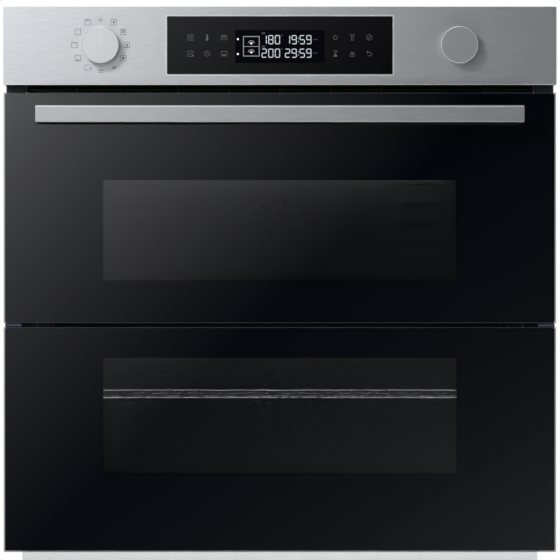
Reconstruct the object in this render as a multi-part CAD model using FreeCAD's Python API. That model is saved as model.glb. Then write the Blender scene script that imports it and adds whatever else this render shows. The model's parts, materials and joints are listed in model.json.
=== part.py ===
import FreeCAD, Part
import math
import os

os.makedirs("parts", exist_ok=True)

# Built-in oven with a door that is split in two. Millimetres: X right, Y to the back, Z up.
# The fronts face -Y, Z is 0 under the base, and X and Y are 0 at the middle of the whole oven.

# Fronts
FRONT_WIDTH = 595.0
DOOR_WIDTH = 594.0
BODY_DEPTH = 570.0
HANDLE_REACH = 43.0
LOWER_DOOR_Z = (0.6, 242.3)
UPPER_DOOR_Z = (246.8, 494.6)
PANEL_Z = (503.0, 587.1)
Y_FACE = -(BODY_DEPTH - HANDLE_REACH) / 2
Y_REAR = Y_FACE + BODY_DEPTH
FRONT_HALF = FRONT_WIDTH / 2
DOOR_HALF = DOOR_WIDTH / 2
CORNER_R = 1.0

# Chassis
SHEET = 1.2
BODY_HALF = 280.0
BODY_TOP = 575.0
FLANGE_HALF = 295.6
FLANGE_TOP = 583.0
FLANGE_T = 1.5
Y_FLANGE = Y_FACE + 24.0
RECESS_HALF = 247.0
RECESS_Z = (24.0, 480.0)
Y_MOUTH = Y_FLANGE + 20.0
SCREW_X = 288.0
SCREW_Z = (60.0, 460.0)
SCREW_HOLE_R = 2.5
VENT_HALF = 275.3
VENT_Z = (487.0, 505.0)

# Cavity and what is in it
CAVITY_HALF = 235.0
CAVITY_Z = (62.0, 442.0)
Y_CAVITY_REAR = 222.0
ENAMEL = 1.5
GAP_Z = (LOWER_DOOR_Z[1] + UPPER_DOOR_Z[0]) / 2
DIVIDER_T = 12.0
INSULATION_T = 22.0
GASKET_REACH = 5.0
FAN_Z = {"upper": 347.0, "lower": 150.0}
FAN_COVER_HALF = 205.0
FAN_COVER_HEIGHT = 164.0
Y_FAN_COVER = 184.0
FAN_R = 60.0
SHAFT_R = 4.0
RING_R = 72.0
ELEMENT_R = 3.5
RING_END_X = 8.0
GRILL_END_X = 40.0
GRILL_Z = CAVITY_Z[1] - 8.0
RAIL_X = 223.0
UPRIGHT_X = 231.0
WIRE_R = 2.5
RACK_Z = 163.6
RACK_BAR_Z = 171.9
RACK_PITCH = 21.3
RACK_WIRES = 17
TRAY_RIM_Z = 301.0
SENSORS = ((219.0, 426.0), (219.0, 226.0))
SENSOR_R = 3.0
LAMPS = ((1, 408.0), (-1, 212.0))
LAMP_Y = 165.0
LAMP_R = 24.0
LADDER_Z = {"lower": (88.0, 200.0), "upper": (262.0, 388.0)}
RAILS = {
    "lower": (RACK_Z - 2 * WIRE_R - 0.6 - 40, RACK_Z - 2 * WIRE_R - 0.6, RACK_Z + 2 * WIRE_R + 9),
    "upper": (TRAY_RIM_Z - 1.8 - WIRE_R, TRAY_RIM_Z + 12, TRAY_RIM_Z + 48),
}

# Doors
GLASS_T = 4.0
DOOR_FRAME_T = 18.0
PROFILE = 1.5
PACK_HALF = 240.0
LOWER_OPENING = (62.0, 221.0)
LOWER_PACK = (34.0, 239.5)
UPPER_OPENING = (272.0, 452.0)
UPPER_PACK = (249.8, 468.0)
Y_DOOR_BACK = Y_FACE + GLASS_T + DOOR_FRAME_T
Y_INNER_GLASS = Y_MOUTH - GASKET_REACH - 1.0
DOOR_OPENING_HALF = 232.0
HINGE_AXIS = (Y_FACE + 9.0, LOWER_DOOR_Z[0] + 9.4)
HINGE_X = 269.0
HINGE_T = 6.0
HINGE_PIN_R = 2.0
MID_AXIS = (Y_FACE + 2.0, GAP_Z)
KNUCKLE_R = 2.0
MID_PIN_R = 1.2
KNUCKLES = ((278.0, 283.6), (284.0, 289.6), (290.0, 295.6))
LEAF_T = 1.2
PIN_PLAY = 0.05

# Handle and release button
HANDLE_HALF = 260.8
HANDLE_Z = (461.6, 479.5)
HANDLE_BAR_T = 15.0
Y_HANDLE = Y_FACE - HANDLE_REACH
Y_BAR_BACK = Y_HANDLE + HANDLE_BAR_T
POST_Z = (HANDLE_Z[0] + 1.7, HANDLE_Z[1] - 2.8)
END_POST_X = (208.5, 257.5)
BUTTON_X = (-30.2, 6.6)
BUTTON_TRAVEL = 2.5
STEM_X = (-15.0, -9.0)
STEM_Z = (POST_Z[0] + 7.0, POST_Z[1] - 1.0)
RELEASE_X = 262.0
Y_RELEASE = -251.0
RELEASE_R = 2.0

# Control panel
KNOB_X = 192.5
KNOB_Z = 545.2
KNOB_R = 19.75
KNOB_REACH = 21.0
DISPLAY_HALF = 121.4
DISPLAY_Z = (514.3, 576.8)
BEZEL = 1.6
ENCODER_SHAFT_R = 3.0

# Cooling air
BLOWER = (0.0, 215.0)
BLOWER_R = 60.0
BLOWER_Z = (486.0, 548.0)
CHANNEL_Z = (486.0, 506.0)
CHANNEL_REAR = 110.0
OUTLET_HALF = 46.0
OUTLET_DEPTH = 12.0


def vec(x, y, z):
    return FreeCAD.Vector(x, y, z)


def both(half):
    return (-half, half)


def block(x, y, z):
    """A box from (low, high) pairs."""
    return Part.makeBox(x[1] - x[0], y[1] - y[0], z[1] - z[0], vec(x[0], y[0], z[0]))


def rod(start, end, radius):
    a = vec(*start)
    along = vec(*end) - a
    return Part.makeCylinder(radius, along.Length, a, along)


def pin(x, y, z, radius):
    """A round bar along Y, from a (front, back) pair."""
    return rod((x, y[0], z), (x, y[1], z), radius)


def shaft_x(x, y, z, radius):
    """A round bar along X, from a (left, right) pair."""
    return rod((x[0], y, z), (x[1], y, z), radius)


def grown(pair, amount):
    """A (low, high) pair made wider at both ends."""
    return (pair[0] - amount, pair[1] + amount)


def join(shapes):
    return shapes[0].multiFuse(shapes[1:]).removeSplitter()


def mirrored(shape):
    return shape.mirror(vec(0, 0, 0), vec(1, 0, 0))


def round_edges(shape, direction, radius):
    """Rounds the straight edges that run along one axis."""
    edges = []
    for edge in shape.Edges:
        if len(edge.Vertexes) == 2:
            step = edge.Vertexes[1].Point - edge.Vertexes[0].Point
            if step.Length > 0 and abs(step.normalize().dot(direction)) > 0.999:
                edges.append(edge)
    return shape.makeFillet(radius, edges)


def plate(x, y, z, corner):
    """An upright plate, parallel to the front, with rounded corners."""
    return round_edges(block(x, y, z), vec(0, 1, 0), corner)


def plate_flat(x, y, z, corner):
    return round_edges(block(x, y, z), vec(0, 0, 1), corner)


def slots(x_centres, z_centres, size, y):
    """Slots that go through in Y, as one tool to cut with."""
    tools = []
    for x in x_centres:
        for z in z_centres:
            tools.append(block((x - size[0] / 2, x + size[0] / 2), y, (z - size[1] / 2, z + size[1] / 2)))
    return Part.Compound(tools)


def spread(low, high, count):
    return [low + (high - low) * i / (count - 1) for i in range(count)]


def bent_rod(points, radius, bend):
    """A round rod along straight runs, with an arc at each corner."""
    corners = [vec(*p) for p in points]
    edges = []
    start = corners[0]
    for i in range(1, len(corners) - 1):
        into = (corners[i] - corners[i - 1]).normalize()
        out = (corners[i + 1] - corners[i]).normalize()
        turn = into.getAngle(out)
        setback = bend * math.tan(turn / 2)
        first = corners[i] - into * setback
        last = corners[i] + out * setback
        inward = (out - into).normalize()
        middle = corners[i] + inward * (bend / math.cos(turn / 2) - bend)
        edges.append(Part.LineSegment(start, first).toShape())
        edges.append(Part.Arc(first, middle, last).toShape())
        start = last
    edges.append(Part.LineSegment(start, corners[-1]).toShape())
    path = Part.Wire(edges)
    profile = Part.Wire([Part.makeCircle(radius, corners[0], corners[1] - corners[0])])
    return path.makePipeShell([profile], True, False)


# ---------------------------------------------------------------- chassis


def cabinet_base():
    x = both(BODY_HALF - SHEET)
    y = (Y_FLANGE + FLANGE_T, Y_REAR - SHEET)
    pan = block(x, y, (0, 16)).cut(block(both(x[1] - SHEET), (y[0] + SHEET, y[1] - SHEET), (SHEET, 17)))
    for side in (-1, 1):
        for row in spread(-120, 220, 9):
            centre = side * 150
            slot = block((centre - 45, centre + 45), (row - 3, row + 3), (-1, SHEET + 1))
            pan = pan.cut(slot)
        pan = pan.cut(block((side * HINGE_X - 8, side * HINGE_X + 8), (y[0] - 1, y[0] + 3), (SHEET, 17)))
    return pan


def cabinet_side():
    y = (Y_FLANGE + FLANGE_T, Y_REAR - SHEET)
    side = block((BODY_HALF - SHEET, BODY_HALF), y, (0, BODY_TOP - SHEET))
    for z in spread(500, 548, 7):
        side = side.cut(block((BODY_HALF - 5, BODY_HALF + 5), (120, 270), (z - 2, z + 2)))
    grip = block((BODY_HALF - 5, BODY_HALF + 5), (-20, 80), (250, 280))
    grip = round_edges(grip, vec(1, 0, 0), 12)
    lip = block((BODY_HALF - 14, BODY_HALF - SHEET), (-26, 86), (280, 280 + SHEET))
    return side.cut(grip).fuse(lip)


def cabinet_back():
    back = block(both(BODY_HALF), (Y_REAR - SHEET, Y_REAR), (0, BODY_TOP - SHEET))
    through = (Y_REAR - 5, Y_REAR + 5)
    for centre in (-150, 0, 150):
        back = back.cut(slots([centre], spread(60, 130, 8), (90, 4), through))
    for centre in (-90, 60):
        back = back.cut(slots([centre], spread(500, 556, 8), (110, 3.5), through))
    service = block((170, 250), through, (512, 562))
    return back.cut(service)


def cabinet_top():
    y = (Y_FLANGE + FLANGE_T, Y_REAR)
    top = block(both(BODY_HALF), y, (BODY_TOP - SHEET, BODY_TOP))
    for row in spread(150, 290, 11):
        top = top.cut(block((-60, 60), (row - 2.5, row + 2.5), (BODY_TOP - 5, BODY_TOP + 5)))
    return top


def front_frame():
    y = (Y_FLANGE, Y_FLANGE + FLANGE_T)
    through = (y[0] - 1, y[1] + 1)
    face = plate(both(FLANGE_HALF), y, (2, FLANGE_TOP), CORNER_R)
    face = face.cut(block(both(RECESS_HALF), through, RECESS_Z))
    face = face.cut(block(both(VENT_HALF), through, VENT_Z))
    face = face.cut(block(both(DISPLAY_HALF - 4), through, (DISPLAY_Z[0] + 4, DISPLAY_Z[1] - 4)))
    for side in (-1, 1):
        face = face.cut(pin(side * KNOB_X, through, KNOB_Z, 14))
        half = HINGE_T / 2 + 1
        face = face.cut(block((side * HINGE_X - half, side * HINGE_X + half), through, (4, 17)))
        for z in SCREW_Z:
            face = face.cut(pin(side * SCREW_X, through, z, SCREW_HOLE_R))
    step = block(both(RECESS_HALF + FLANGE_T), (y[0], Y_MOUTH), grown(RECESS_Z, FLANGE_T))
    step = step.cut(block(both(RECESS_HALF), (y[0] - 1, Y_MOUTH + 1), RECESS_Z))
    return face.fuse(step).removeSplitter()


def oven_cavity():
    wall = ENAMEL
    outer = block(
        both(CAVITY_HALF + wall),
        (Y_MOUTH, Y_CAVITY_REAR + wall),
        (CAVITY_Z[0] - wall, CAVITY_Z[1] + wall),
    )
    mouth = plate(both(RECESS_HALF + 3), (Y_MOUTH, Y_MOUTH + wall), grown(RECESS_Z, 3), CORNER_R)
    inside = block(both(CAVITY_HALF), (Y_MOUTH - 1, Y_CAVITY_REAR), CAVITY_Z)
    inside = round_edges(inside, vec(0, 1, 0), 10)
    liner = outer.fuse(mouth).cut(inside)
    ledge_z = (GAP_Z - DIVIDER_T / 2 - 4, GAP_Z - DIVIDER_T / 2)
    for side in (-1, 1):
        x = sorted((side * (CAVITY_HALF - 6), side * CAVITY_HALF))
        liner = liner.fuse(block(x, (-190, 170), ledge_z))
    through = (Y_CAVITY_REAR - 2, Y_CAVITY_REAR + 4)
    for z in FAN_Z.values():
        liner = liner.cut(pin(0, through, z, SHAFT_R + 2))
        for x in both(RING_END_X):
            liner = liner.cut(pin(x, through, z - RING_R, ELEMENT_R + 0.5))
    for x in both(GRILL_END_X):
        liner = liner.cut(pin(x, through, GRILL_Z, ELEMENT_R + 0.5))
    for x, z in SENSORS:
        liner = liner.cut(pin(x, through, z, SENSOR_R + 0.5))
    for side, z in LAMPS:
        wall_x = side * CAVITY_HALF
        liner = liner.cut(shaft_x((wall_x - 3, wall_x + 3), LAMP_Y, z, LAMP_R - 4))
    return liner.removeSplitter()


def cavity_insulation():
    t = INSULATION_T
    clear = 0.5
    inner_x = CAVITY_HALF + ENAMEL + clear
    inner_z = (48.0, CAVITY_Z[1] + ENAMEL + clear)
    inner_rear = Y_CAVITY_REAR + ENAMEL + clear
    front = Y_MOUTH + 12
    outer = block(both(inner_x + t), (front, inner_rear + t), (inner_z[0] - 20, inner_z[1] + t))
    wool = outer.cut(block(both(inner_x), (front - 1, inner_rear), inner_z))
    through = (inner_rear - 1, inner_rear + t + 1)
    for z in FAN_Z.values():
        wool = wool.cut(pin(0, through, z, 14))
        wool = wool.cut(block(both(RING_END_X + 6), through, (z - RING_R - 6, z - RING_R + 6)))
    wool = wool.cut(block(both(GRILL_END_X + 6), through, (GRILL_Z - 6, GRILL_Z + 6)))
    for x, z in SENSORS:
        wool = wool.cut(pin(x, through, z, SENSOR_R + 3))
    for side, z in LAMPS:
        start = side * (inner_x - 1)
        wool = wool.cut(rod((start, LAMP_Y, z), (side * (inner_x + t + 1), LAMP_Y, z), LAMP_R))
    return wool


def cavity_gasket():
    y = (Y_MOUTH - GASKET_REACH, Y_MOUTH)
    outer = plate(both(CAVITY_HALF + 10), y, grown(CAVITY_Z, 10), 14)
    return outer.cut(plate(both(CAVITY_HALF + 2), grown(y, 1), grown(CAVITY_Z, 2), 8))


def divider():
    x = both(CAVITY_HALF - 1.5)
    y = (Y_MOUTH + 4, Y_FAN_COVER - 3)
    z = (GAP_Z - DIVIDER_T / 2, GAP_Z + DIVIDER_T / 2)
    tray = block(x, y, z)
    wall = 2.0
    hollow = block(both(x[1] - wall), (y[0] + wall, y[1] - wall), (z[0] - 1, z[1] - wall))
    tray = tray.cut(hollow)
    ribs = []
    for row in spread(-140, 110, 4):
        ribs.append(block(both(x[1] - wall), (row - 1, row + 1), (z[0] + 2, z[1] - wall)))
    return join([tray] + ribs)


def divider_seal():
    """Rubber lip along the divider's front edge, with a tongue into the gap before the divider."""
    z = (GAP_Z - 4.5, GAP_Z + 4.5)
    lip = block(both(CAVITY_HALF + 1.5), (Y_MOUTH - GASKET_REACH, Y_MOUTH), z)
    lip = round_edges(lip, vec(1, 0, 0), 2.0)
    tongue = block(both(CAVITY_HALF - 1), (Y_MOUTH - 1, Y_MOUTH + 4), grown(z, -2))
    return lip.fuse(tongue).removeSplitter()


# ---------------------------------------------------------------- in the cavity


def side_rack(side):
    """Two wire ladders on one side wall, above and below the divider."""
    y = (-195.0, 135.0)
    post_x, rail_x, wall_x = side * UPRIGHT_X, side * RAIL_X, side * CAVITY_HALF
    ladders = []
    for zone, rails in RAILS.items():
        low, high = LADDER_Z[zone]
        wires = []
        for post in (y[0] + 12, y[1] - 12):
            wires.append(rod((post_x, post, low), (post_x, post, high), WIRE_R))
            for z in (low + 12, high - 12):
                wires.append(rod((post_x, post, z), (wall_x, post, z), 3.0))
        for z in rails:
            path = [(post_x, y[0] + 12, z), (post_x, y[0], z), (rail_x, y[0], z)]
            path.extend([(rail_x, y[1], z), (post_x, y[1], z), (post_x, y[1] - 12, z)])
            wires.append(bent_rod(path, WIRE_R, 3.5))
        ladders.append(join(wires))
    return Part.Compound(ladders)


def wire_rack():
    y = (-205.0, 150.0)
    half = RAIL_X
    frame = join(
        [
            rod((-half, y[0], RACK_Z), (half, y[0], RACK_Z), WIRE_R),
            rod((-half, y[1], RACK_Z), (half, y[1], RACK_Z), WIRE_R),
            rod((-half, y[0], RACK_Z), (-half, y[1], RACK_Z), WIRE_R),
            rod((half, y[0], RACK_Z), (half, y[1], RACK_Z), WIRE_R),
        ]
        + [Part.makeSphere(WIRE_R, vec(sx, sy, RACK_Z)) for sx in both(half) for sy in y]
    )
    thin = 1.6
    reach = RACK_PITCH * (RACK_WIRES - 1) / 2
    wires = []
    for x in spread(-reach, reach, RACK_WIRES):
        wires.append(rod((x, y[0] - WIRE_R - 0.5, RACK_Z + 2), (x, y[1] + 2, RACK_Z + 2), thin))
    for row in (-90.0, 40.0):
        wires.append(rod((-half, row, RACK_Z), (half, row, RACK_Z), 2.0))
    stop = bent_rod(
        [
            (-half + 14, y[0] + 1, RACK_Z),
            (-half + 14, y[0] + 1, RACK_BAR_Z),
            (half - 14, y[0] + 1, RACK_BAR_Z),
            (half - 14, y[0] + 1, RACK_Z),
        ],
        2.0,
        3.0,
    )
    return join([frame, stop] + wires)


def baking_tray():
    y = (-200.0, 130.0)
    half = RAIL_X - 12
    floor = TRAY_RIM_Z - 24
    pan_y = grown(y, -14)
    rim = plate_flat(both(RAIL_X - 1.5), y, (TRAY_RIM_Z - SHEET, TRAY_RIM_Z), 8)
    pan = plate_flat(both(half), pan_y, (floor, TRAY_RIM_Z), 16)
    inside = plate_flat(both(half - SHEET), grown(pan_y, -SHEET), (floor + SHEET, TRAY_RIM_Z + 1), 15)
    return rim.fuse(pan).cut(inside).removeSplitter()


def grill_element():
    """One long loop back and forth under the roof, with both ends out through the rear wall."""
    z = GRILL_Z
    end = GRILL_END_X
    tail = Y_CAVITY_REAR + 30
    half = [(end, tail, z), (end, 165, z), (190, 165, z), (190, -150, z), (115, -150, z), (115, 125, z)]
    half.extend([(end, 125, z), (end, -150, z)])
    left = [(-x, y, z) for x, y, z in half]
    return bent_rod(left + half[::-1], ELEMENT_R, 14)


def bottom_element():
    z = CAVITY_Z[0] - ENAMEL - ELEMENT_R - 2
    path = [(-150, 170, z), (-150, -150, z), (-60, -150, z), (-60, 120, z), (60, 120, z), (60, -150, z)]
    path.extend([(150, -150, z), (150, 170, z)])
    return bent_rod(path, ELEMENT_R, 18)


def ring_elements():
    rings = []
    for z in FAN_Z.values():
        loop = Part.makeTorus(RING_R, ELEMENT_R, vec(0, 206, z), vec(0, 1, 0))
        low = z - RING_R
        ends = [rod((x, 206, low), (x, Y_CAVITY_REAR + 30, low), ELEMENT_R - 0.3) for x in both(RING_END_X)]
        rings.append(join([loop] + ends))
    return Part.Compound(rings)


def fan_cover(z):
    """A shallow pan over one fan, with an intake in the middle and outlets round the edge."""
    height = (z - FAN_COVER_HEIGHT / 2, z + FAN_COVER_HEIGHT / 2)
    inner_y = (Y_FAN_COVER + SHEET, Y_CAVITY_REAR + 1)
    pan = block(both(FAN_COVER_HALF), (Y_FAN_COVER, Y_CAVITY_REAR), height)
    pan = pan.cut(block(both(FAN_COVER_HALF - SHEET), inner_y, grown(height, -SHEET)))
    tools = []
    through = (Y_FAN_COVER - 1, Y_FAN_COVER + SHEET + 1)
    for radius, count in ((12, 6), (24, 12), (36, 18)):
        for i in range(count):
            angle = 2 * math.pi * i / count
            x, up = radius * math.cos(angle), z + radius * math.sin(angle)
            tools.append(pin(x, through, up, 4))
    for side in (-1, 1):
        for row in spread(-56, 56, 6):
            centre = side * (FAN_COVER_HALF - 40)
            tools.append(block((centre - 22, centre + 22), through, (z + row - 3, z + row + 3)))
    return pan.cut(Part.Compound(tools))


def fan(z):
    """Impeller with its shaft; it turns about Y."""
    disc = rod((0, 196, z), (0, 197.5, z), FAN_R)
    hub = rod((0, 194, z), (0, 214, z), 11)
    shaft = rod((0, 212, z), (0, 268, z), SHAFT_R)
    blade = block((24, FAN_R - 1), (197.5, 214), (-0.75, 0.75))
    blades = []
    for i in range(12):
        turned = blade.copy()
        turned.rotate(vec(0, 0, 0), vec(0, 1, 0), 30 * i)
        turned.translate(vec(0, 0, z))
        blades.append(turned)
    return join([disc, hub, shaft] + blades)


def fan_motor(z):
    """Motor can on a bracket that stands on the insulation side of the rear wall."""
    start = Y_CAVITY_REAR + ENAMEL + INSULATION_T + 1.5
    bracket = block((-50, 50), (start, start + SHEET), (z - 18, z + 18))
    core = block((-32, 32), (start + SHEET, start + 22), (z - 26, z + 26))
    can = rod((0, start + 22, z), (0, start + 32, z), 22)
    cap = rod((0, start + 32, z), (0, start + 38, z), 9)
    bore = rod((0, start - 1, z), (0, 270, z), SHAFT_R + PIN_PLAY)
    return join([bracket, core, can, cap]).cut(bore)


def oven_lamps():
    lamps = []
    for side, z in LAMPS:
        wall = side * (CAVITY_HALF + ENAMEL)
        cover = rod((side * (CAVITY_HALF - 8), LAMP_Y, z), (side * CAVITY_HALF, LAMP_Y, z), LAMP_R - 2)
        neck = rod((side * CAVITY_HALF, LAMP_Y, z), (wall, LAMP_Y, z), LAMP_R - 4.5)
        socket = rod((wall, LAMP_Y, z), (side * (BODY_HALF - 9), LAMP_Y, z), LAMP_R - 4)
        lamps.append(join([cover, neck, socket]))
    return Part.Compound(lamps)


def temperature_sensors():
    rods = []
    for x, z in SENSORS:
        rear = Y_CAVITY_REAR + ENAMEL
        probe = pin(x, (150, rear + 40), z, SENSOR_R)
        flange = pin(x, (rear, rear + 0.4), z, SENSOR_R + 2.5)
        rods.append(join([probe, flange, Part.makeSphere(SENSOR_R, vec(x, 150, z))]))
    return Part.Compound(rods)


# ---------------------------------------------------------------- cooling air and electrics


def funnel(front_half, rear_half, y, z):
    corners = [(-front_half, y[0]), (front_half, y[0]), (front_half, -80), (rear_half, y[1])]
    corners += [(-rear_half, y[1]), (-front_half, -80), (-front_half, y[0])]
    face = Part.Face(Part.makePolygon([vec(x, row, z[0]) for x, row in corners]))
    return face.extrude(vec(0, 0, z[1] - z[0]))


def air_channel():
    y = (Y_FLANGE + FLANGE_T + OUTLET_DEPTH, CHANNEL_REAR)
    outer = funnel(VENT_HALF, OUTLET_HALF, y, CHANNEL_Z)
    inner = funnel(VENT_HALF - SHEET, OUTLET_HALF - SHEET, grown(y, 1), grown(CHANNEL_Z, -SHEET))
    return outer.cut(inner)


def air_outlet():
    """Black louvre strip in the slot between the upper door and the panel."""
    y = (Y_FLANGE + FLANGE_T, Y_FLANGE + FLANGE_T + OUTLET_DEPTH)
    half = VENT_HALF + 1.0
    strip = block(both(half), y, (VENT_Z[0] - 1.0, VENT_Z[1] + 1.0))
    strip = strip.cut(block(both(VENT_HALF), (y[0] - 1, y[1] + 1), VENT_Z))
    third = (VENT_Z[1] - VENT_Z[0]) / 3
    deep = (y[0] + 8, y[1])
    slats = []
    for z in (VENT_Z[0] + third, VENT_Z[1] - third):
        slats.append(block(both(half), deep, (z - 0.6, z + 0.6)))
    ribs = [block((x - 0.75, x + 0.75), deep, VENT_Z) for x in spread(-220, 220, 9)]
    return join([strip] + slats + ribs)


def blower_housing():
    x, y = BLOWER
    low, high = BLOWER_Z
    outer = Part.makeCylinder(BLOWER_R, high - low, vec(x, y, low))
    outer = outer.fuse(block(both(OUTLET_HALF), (CHANNEL_REAR, y), CHANNEL_Z))
    inner = Part.makeCylinder(BLOWER_R - SHEET, high - low - 2 * SHEET, vec(x, y, low + SHEET))
    duct = block(both(OUTLET_HALF - SHEET), (CHANNEL_REAR - 1, y), grown(CHANNEL_Z, -SHEET))
    intake = Part.makeCylinder(32, 4, vec(x, y, low - 1))
    shaft_hole = Part.makeCylinder(8, 4, vec(x, y, high - 2))
    return outer.cut(inner.fuse(duct)).cut(intake).cut(shaft_hole)


def blower_wheel():
    x, y = BLOWER
    low = BLOWER_Z[0] + 24
    disc = Part.makeCylinder(46, 1.5, vec(x, y, low))
    hub = Part.makeCylinder(9, 20, vec(x, y, low))
    shaft = Part.makeCylinder(2.5, 38, vec(x, y, low + 12))
    blade = block((36, 46), (-0.6, 0.6), (0, 26))
    blades = []
    for i in range(24):
        turned = blade.copy()
        turned.rotate(vec(0, 0, 0), vec(0, 0, 1), 15 * i)
        turned.translate(vec(x, y, low))
        blades.append(turned)
    return join([disc, hub, shaft] + blades)


def blower_motor():
    x, y = BLOWER
    low = BLOWER_Z[1]
    foot = Part.makeCylinder(30, 1.5, vec(x, y, low))
    body = Part.makeCylinder(24, 20, vec(x, y, low + 1.5))
    bore = Part.makeCylinder(2.5 + PIN_PLAY, 16, vec(x, y, low - 1))
    return foot.fuse(body).cut(bore)


def terminal_block():
    base = block((160, 260), (Y_REAR - 36, Y_REAR - SHEET), (506, 568))
    base = base.cut(block((166, 254), (Y_REAR - 22, Y_REAR), (512, 562)))
    posts = [rod((x, Y_REAR - 22.5, 540), (x, Y_REAR - 8, 540), 3) for x in spread(180, 240, 5)]
    return join([base] + posts)


def main_board():
    """Power board in a plastic tray on top of the air channel."""
    z = CHANNEL_Z[1]
    x, y = (-130, 130), (-205, -70)
    tray = block(x, y, (z, z + 14)).cut(block((x[0] + 2, x[1] - 2), (y[0] + 2, y[1] - 2), (z + 2, z + 15)))
    board = block((x[0] + 2, x[1] - 2), (y[0] + 2, y[1] - 2), (z + 8, z + 9.6))
    parts = [tray, board]
    for i, centre in enumerate(spread(-105, 60, 8)):
        parts.append(block((centre - 8, centre + 8), (-110, -82), (z + 9.6, z + 25 + (i % 2) * 3)))
    parts.append(block((75, 115), (-190, -150), (z + 9.6, z + 41)))
    for centre in (-100, -78, -56):
        parts.append(Part.makeCylinder(8, 26, vec(centre, -175, z + 9.6)))
    parts.append(block((-35, 45), (-200, -190), (z + 9.6, z + 20)))
    return join(parts)


# ---------------------------------------------------------------- control panel


def control_panel():
    x, z = both(FRONT_HALF), PANEL_Z
    shell = plate(x, (Y_FACE, Y_FACE + 21), z, CORNER_R)
    inner = block((x[0] + SHEET, x[1] - SHEET), (Y_FACE + SHEET, Y_FACE + 22), (z[0] + SHEET, z[1] - SHEET))
    shell = shell.cut(inner)
    through = (Y_FACE - 1, Y_FACE + SHEET + 1)
    shell = shell.cut(block(both(DISPLAY_HALF + 0.2), through, grown(DISPLAY_Z, 0.2)))
    for x in both(KNOB_X):
        shell = shell.cut(pin(x, through, KNOB_Z, 5.0))
    return shell


def panel_carrier():
    y = (Y_FACE + SHEET, Y_FLANGE)
    x, z = both(FRONT_HALF - SHEET - 2), grown(PANEL_Z, -SHEET - 1)
    back = (y[1] - 5, y[1] - 3)
    carrier = block(x, (y[0], back[1]), z)
    carrier = carrier.cut(block(grown(x, -2), (y[0] - 1, back[0]), grown(z, -2)))
    carrier = carrier.cut(block(both(DISPLAY_HALF - 12), grown(back, 1), grown(DISPLAY_Z, -14)))
    knob_z = (KNOB_Z - 9, KNOB_Z + 9)
    extras = []
    for x_wall in (-DISPLAY_HALF - 4, DISPLAY_HALF + 2):
        extras.append(block((x_wall, x_wall + 2), (y[0], back[0]), grown(z, -2)))
    for side in (-1, 1):
        for x_boss in (148, 240, 280):
            for z_boss in (z[0] + 10, z[1] - 10):
                if z_boss < FLANGE_TOP - 6:
                    extras.append(pin(side * x_boss, y, z_boss, 4))
        extras.append(block((side * KNOB_X - 9, side * KNOB_X + 9), (back[0] - 2, back[0]), knob_z))
    carrier = join([carrier] + extras)
    for side in (-1, 1):
        carrier = carrier.cut(pin(side * KNOB_X, grown(back, 3), KNOB_Z, 4))
    return carrier


def display_glass():
    return plate(both(DISPLAY_HALF), (Y_FACE - 0.3, Y_FACE + 2.7), DISPLAY_Z, 1.0)


def display_bezel():
    """Thin bright rim on the panel, round the edge of the glass."""
    outer = plate(both(DISPLAY_HALF + BEZEL), (Y_FACE - 0.6, Y_FACE), grown(DISPLAY_Z, BEZEL), 2.0)
    return outer.cut(plate(both(DISPLAY_HALF), (Y_FACE - 1, Y_FACE + 1), DISPLAY_Z, 1.0))


def display_board():
    half = DISPLAY_HALF - 8
    z = grown(DISPLAY_Z, -6)
    board = block(both(half), (Y_FACE + 8, Y_FACE + 9.6), z)
    screen = block((-48, 48), (Y_FACE + 2.7, Y_FACE + 8), (z[0] + 6, z[1] - 2))
    pads = []
    for x in (-95, -78, -60, 60, 78, 95):
        for row in (z[0] + 18, z[1] - 14):
            pads.append(block((x - 4, x + 4), (Y_FACE + 3.2, Y_FACE + 8), (row - 4, row + 4)))
    plug = block((-20, 20), (Y_FACE + 9.6, Y_FACE + 16), (z[0] + 12, z[0] + 20))
    return join([board, screen, plug] + pads)


def encoder(x):
    """Rotary encoder: body behind the fascia and a threaded bush through it."""
    body = block((x - 7, x + 7), (Y_FACE + 6, Y_FACE + 15), (KNOB_Z - 7, KNOB_Z + 7))
    bush = pin(x, (Y_FACE - 4, Y_FACE + 6), KNOB_Z, 4.6)
    nut = pin(x, (Y_FACE + SHEET, Y_FACE + SHEET + 2), KNOB_Z, 7)
    bore = pin(x, (Y_FACE - 5, Y_FACE + 13), KNOB_Z, ENCODER_SHAFT_R + PIN_PLAY)
    return join([body, bush, nut]).cut(bore)


def knob(x, marked):
    """Turned metal cap on the encoder's shaft."""
    front = Y_FACE - KNOB_REACH
    back = Y_FACE - 1.0
    cap = pin(x, (front, back), KNOB_Z, KNOB_R)
    rim = [e for e in cap.Edges if abs(e.CenterOfMass.y - front) < 0.01 and e.Length > 100]
    cap = cap.makeChamfer(0.7, rim)
    cap = cap.cut(pin(x, (front + 3, back + 1), KNOB_Z, KNOB_R - 2))
    hub = pin(x, (front + 3, back - 5), KNOB_Z, 7)
    shaft = pin(x, (front + 3, Y_FACE + 12), KNOB_Z, ENCODER_SHAFT_R)
    whole = join([cap, hub, shaft])
    if marked:
        line = block((x - 0.4, x + 0.4), (front - 1, front + 0.3), (KNOB_Z - 1, KNOB_Z + KNOB_R - 0.7))
        whole = whole.cut(line)
    return whole


# ---------------------------------------------------------------- doors


def outer_glass(z):
    pane = plate(both(DOOR_HALF), (Y_FACE, Y_FACE + GLASS_T), z, CORNER_R)
    front = [e for e in pane.Edges if all(abs(v.Point.y - Y_FACE) < 0.01 for v in e.Vertexes)]
    return pane.makeChamfer(0.6, front)


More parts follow.
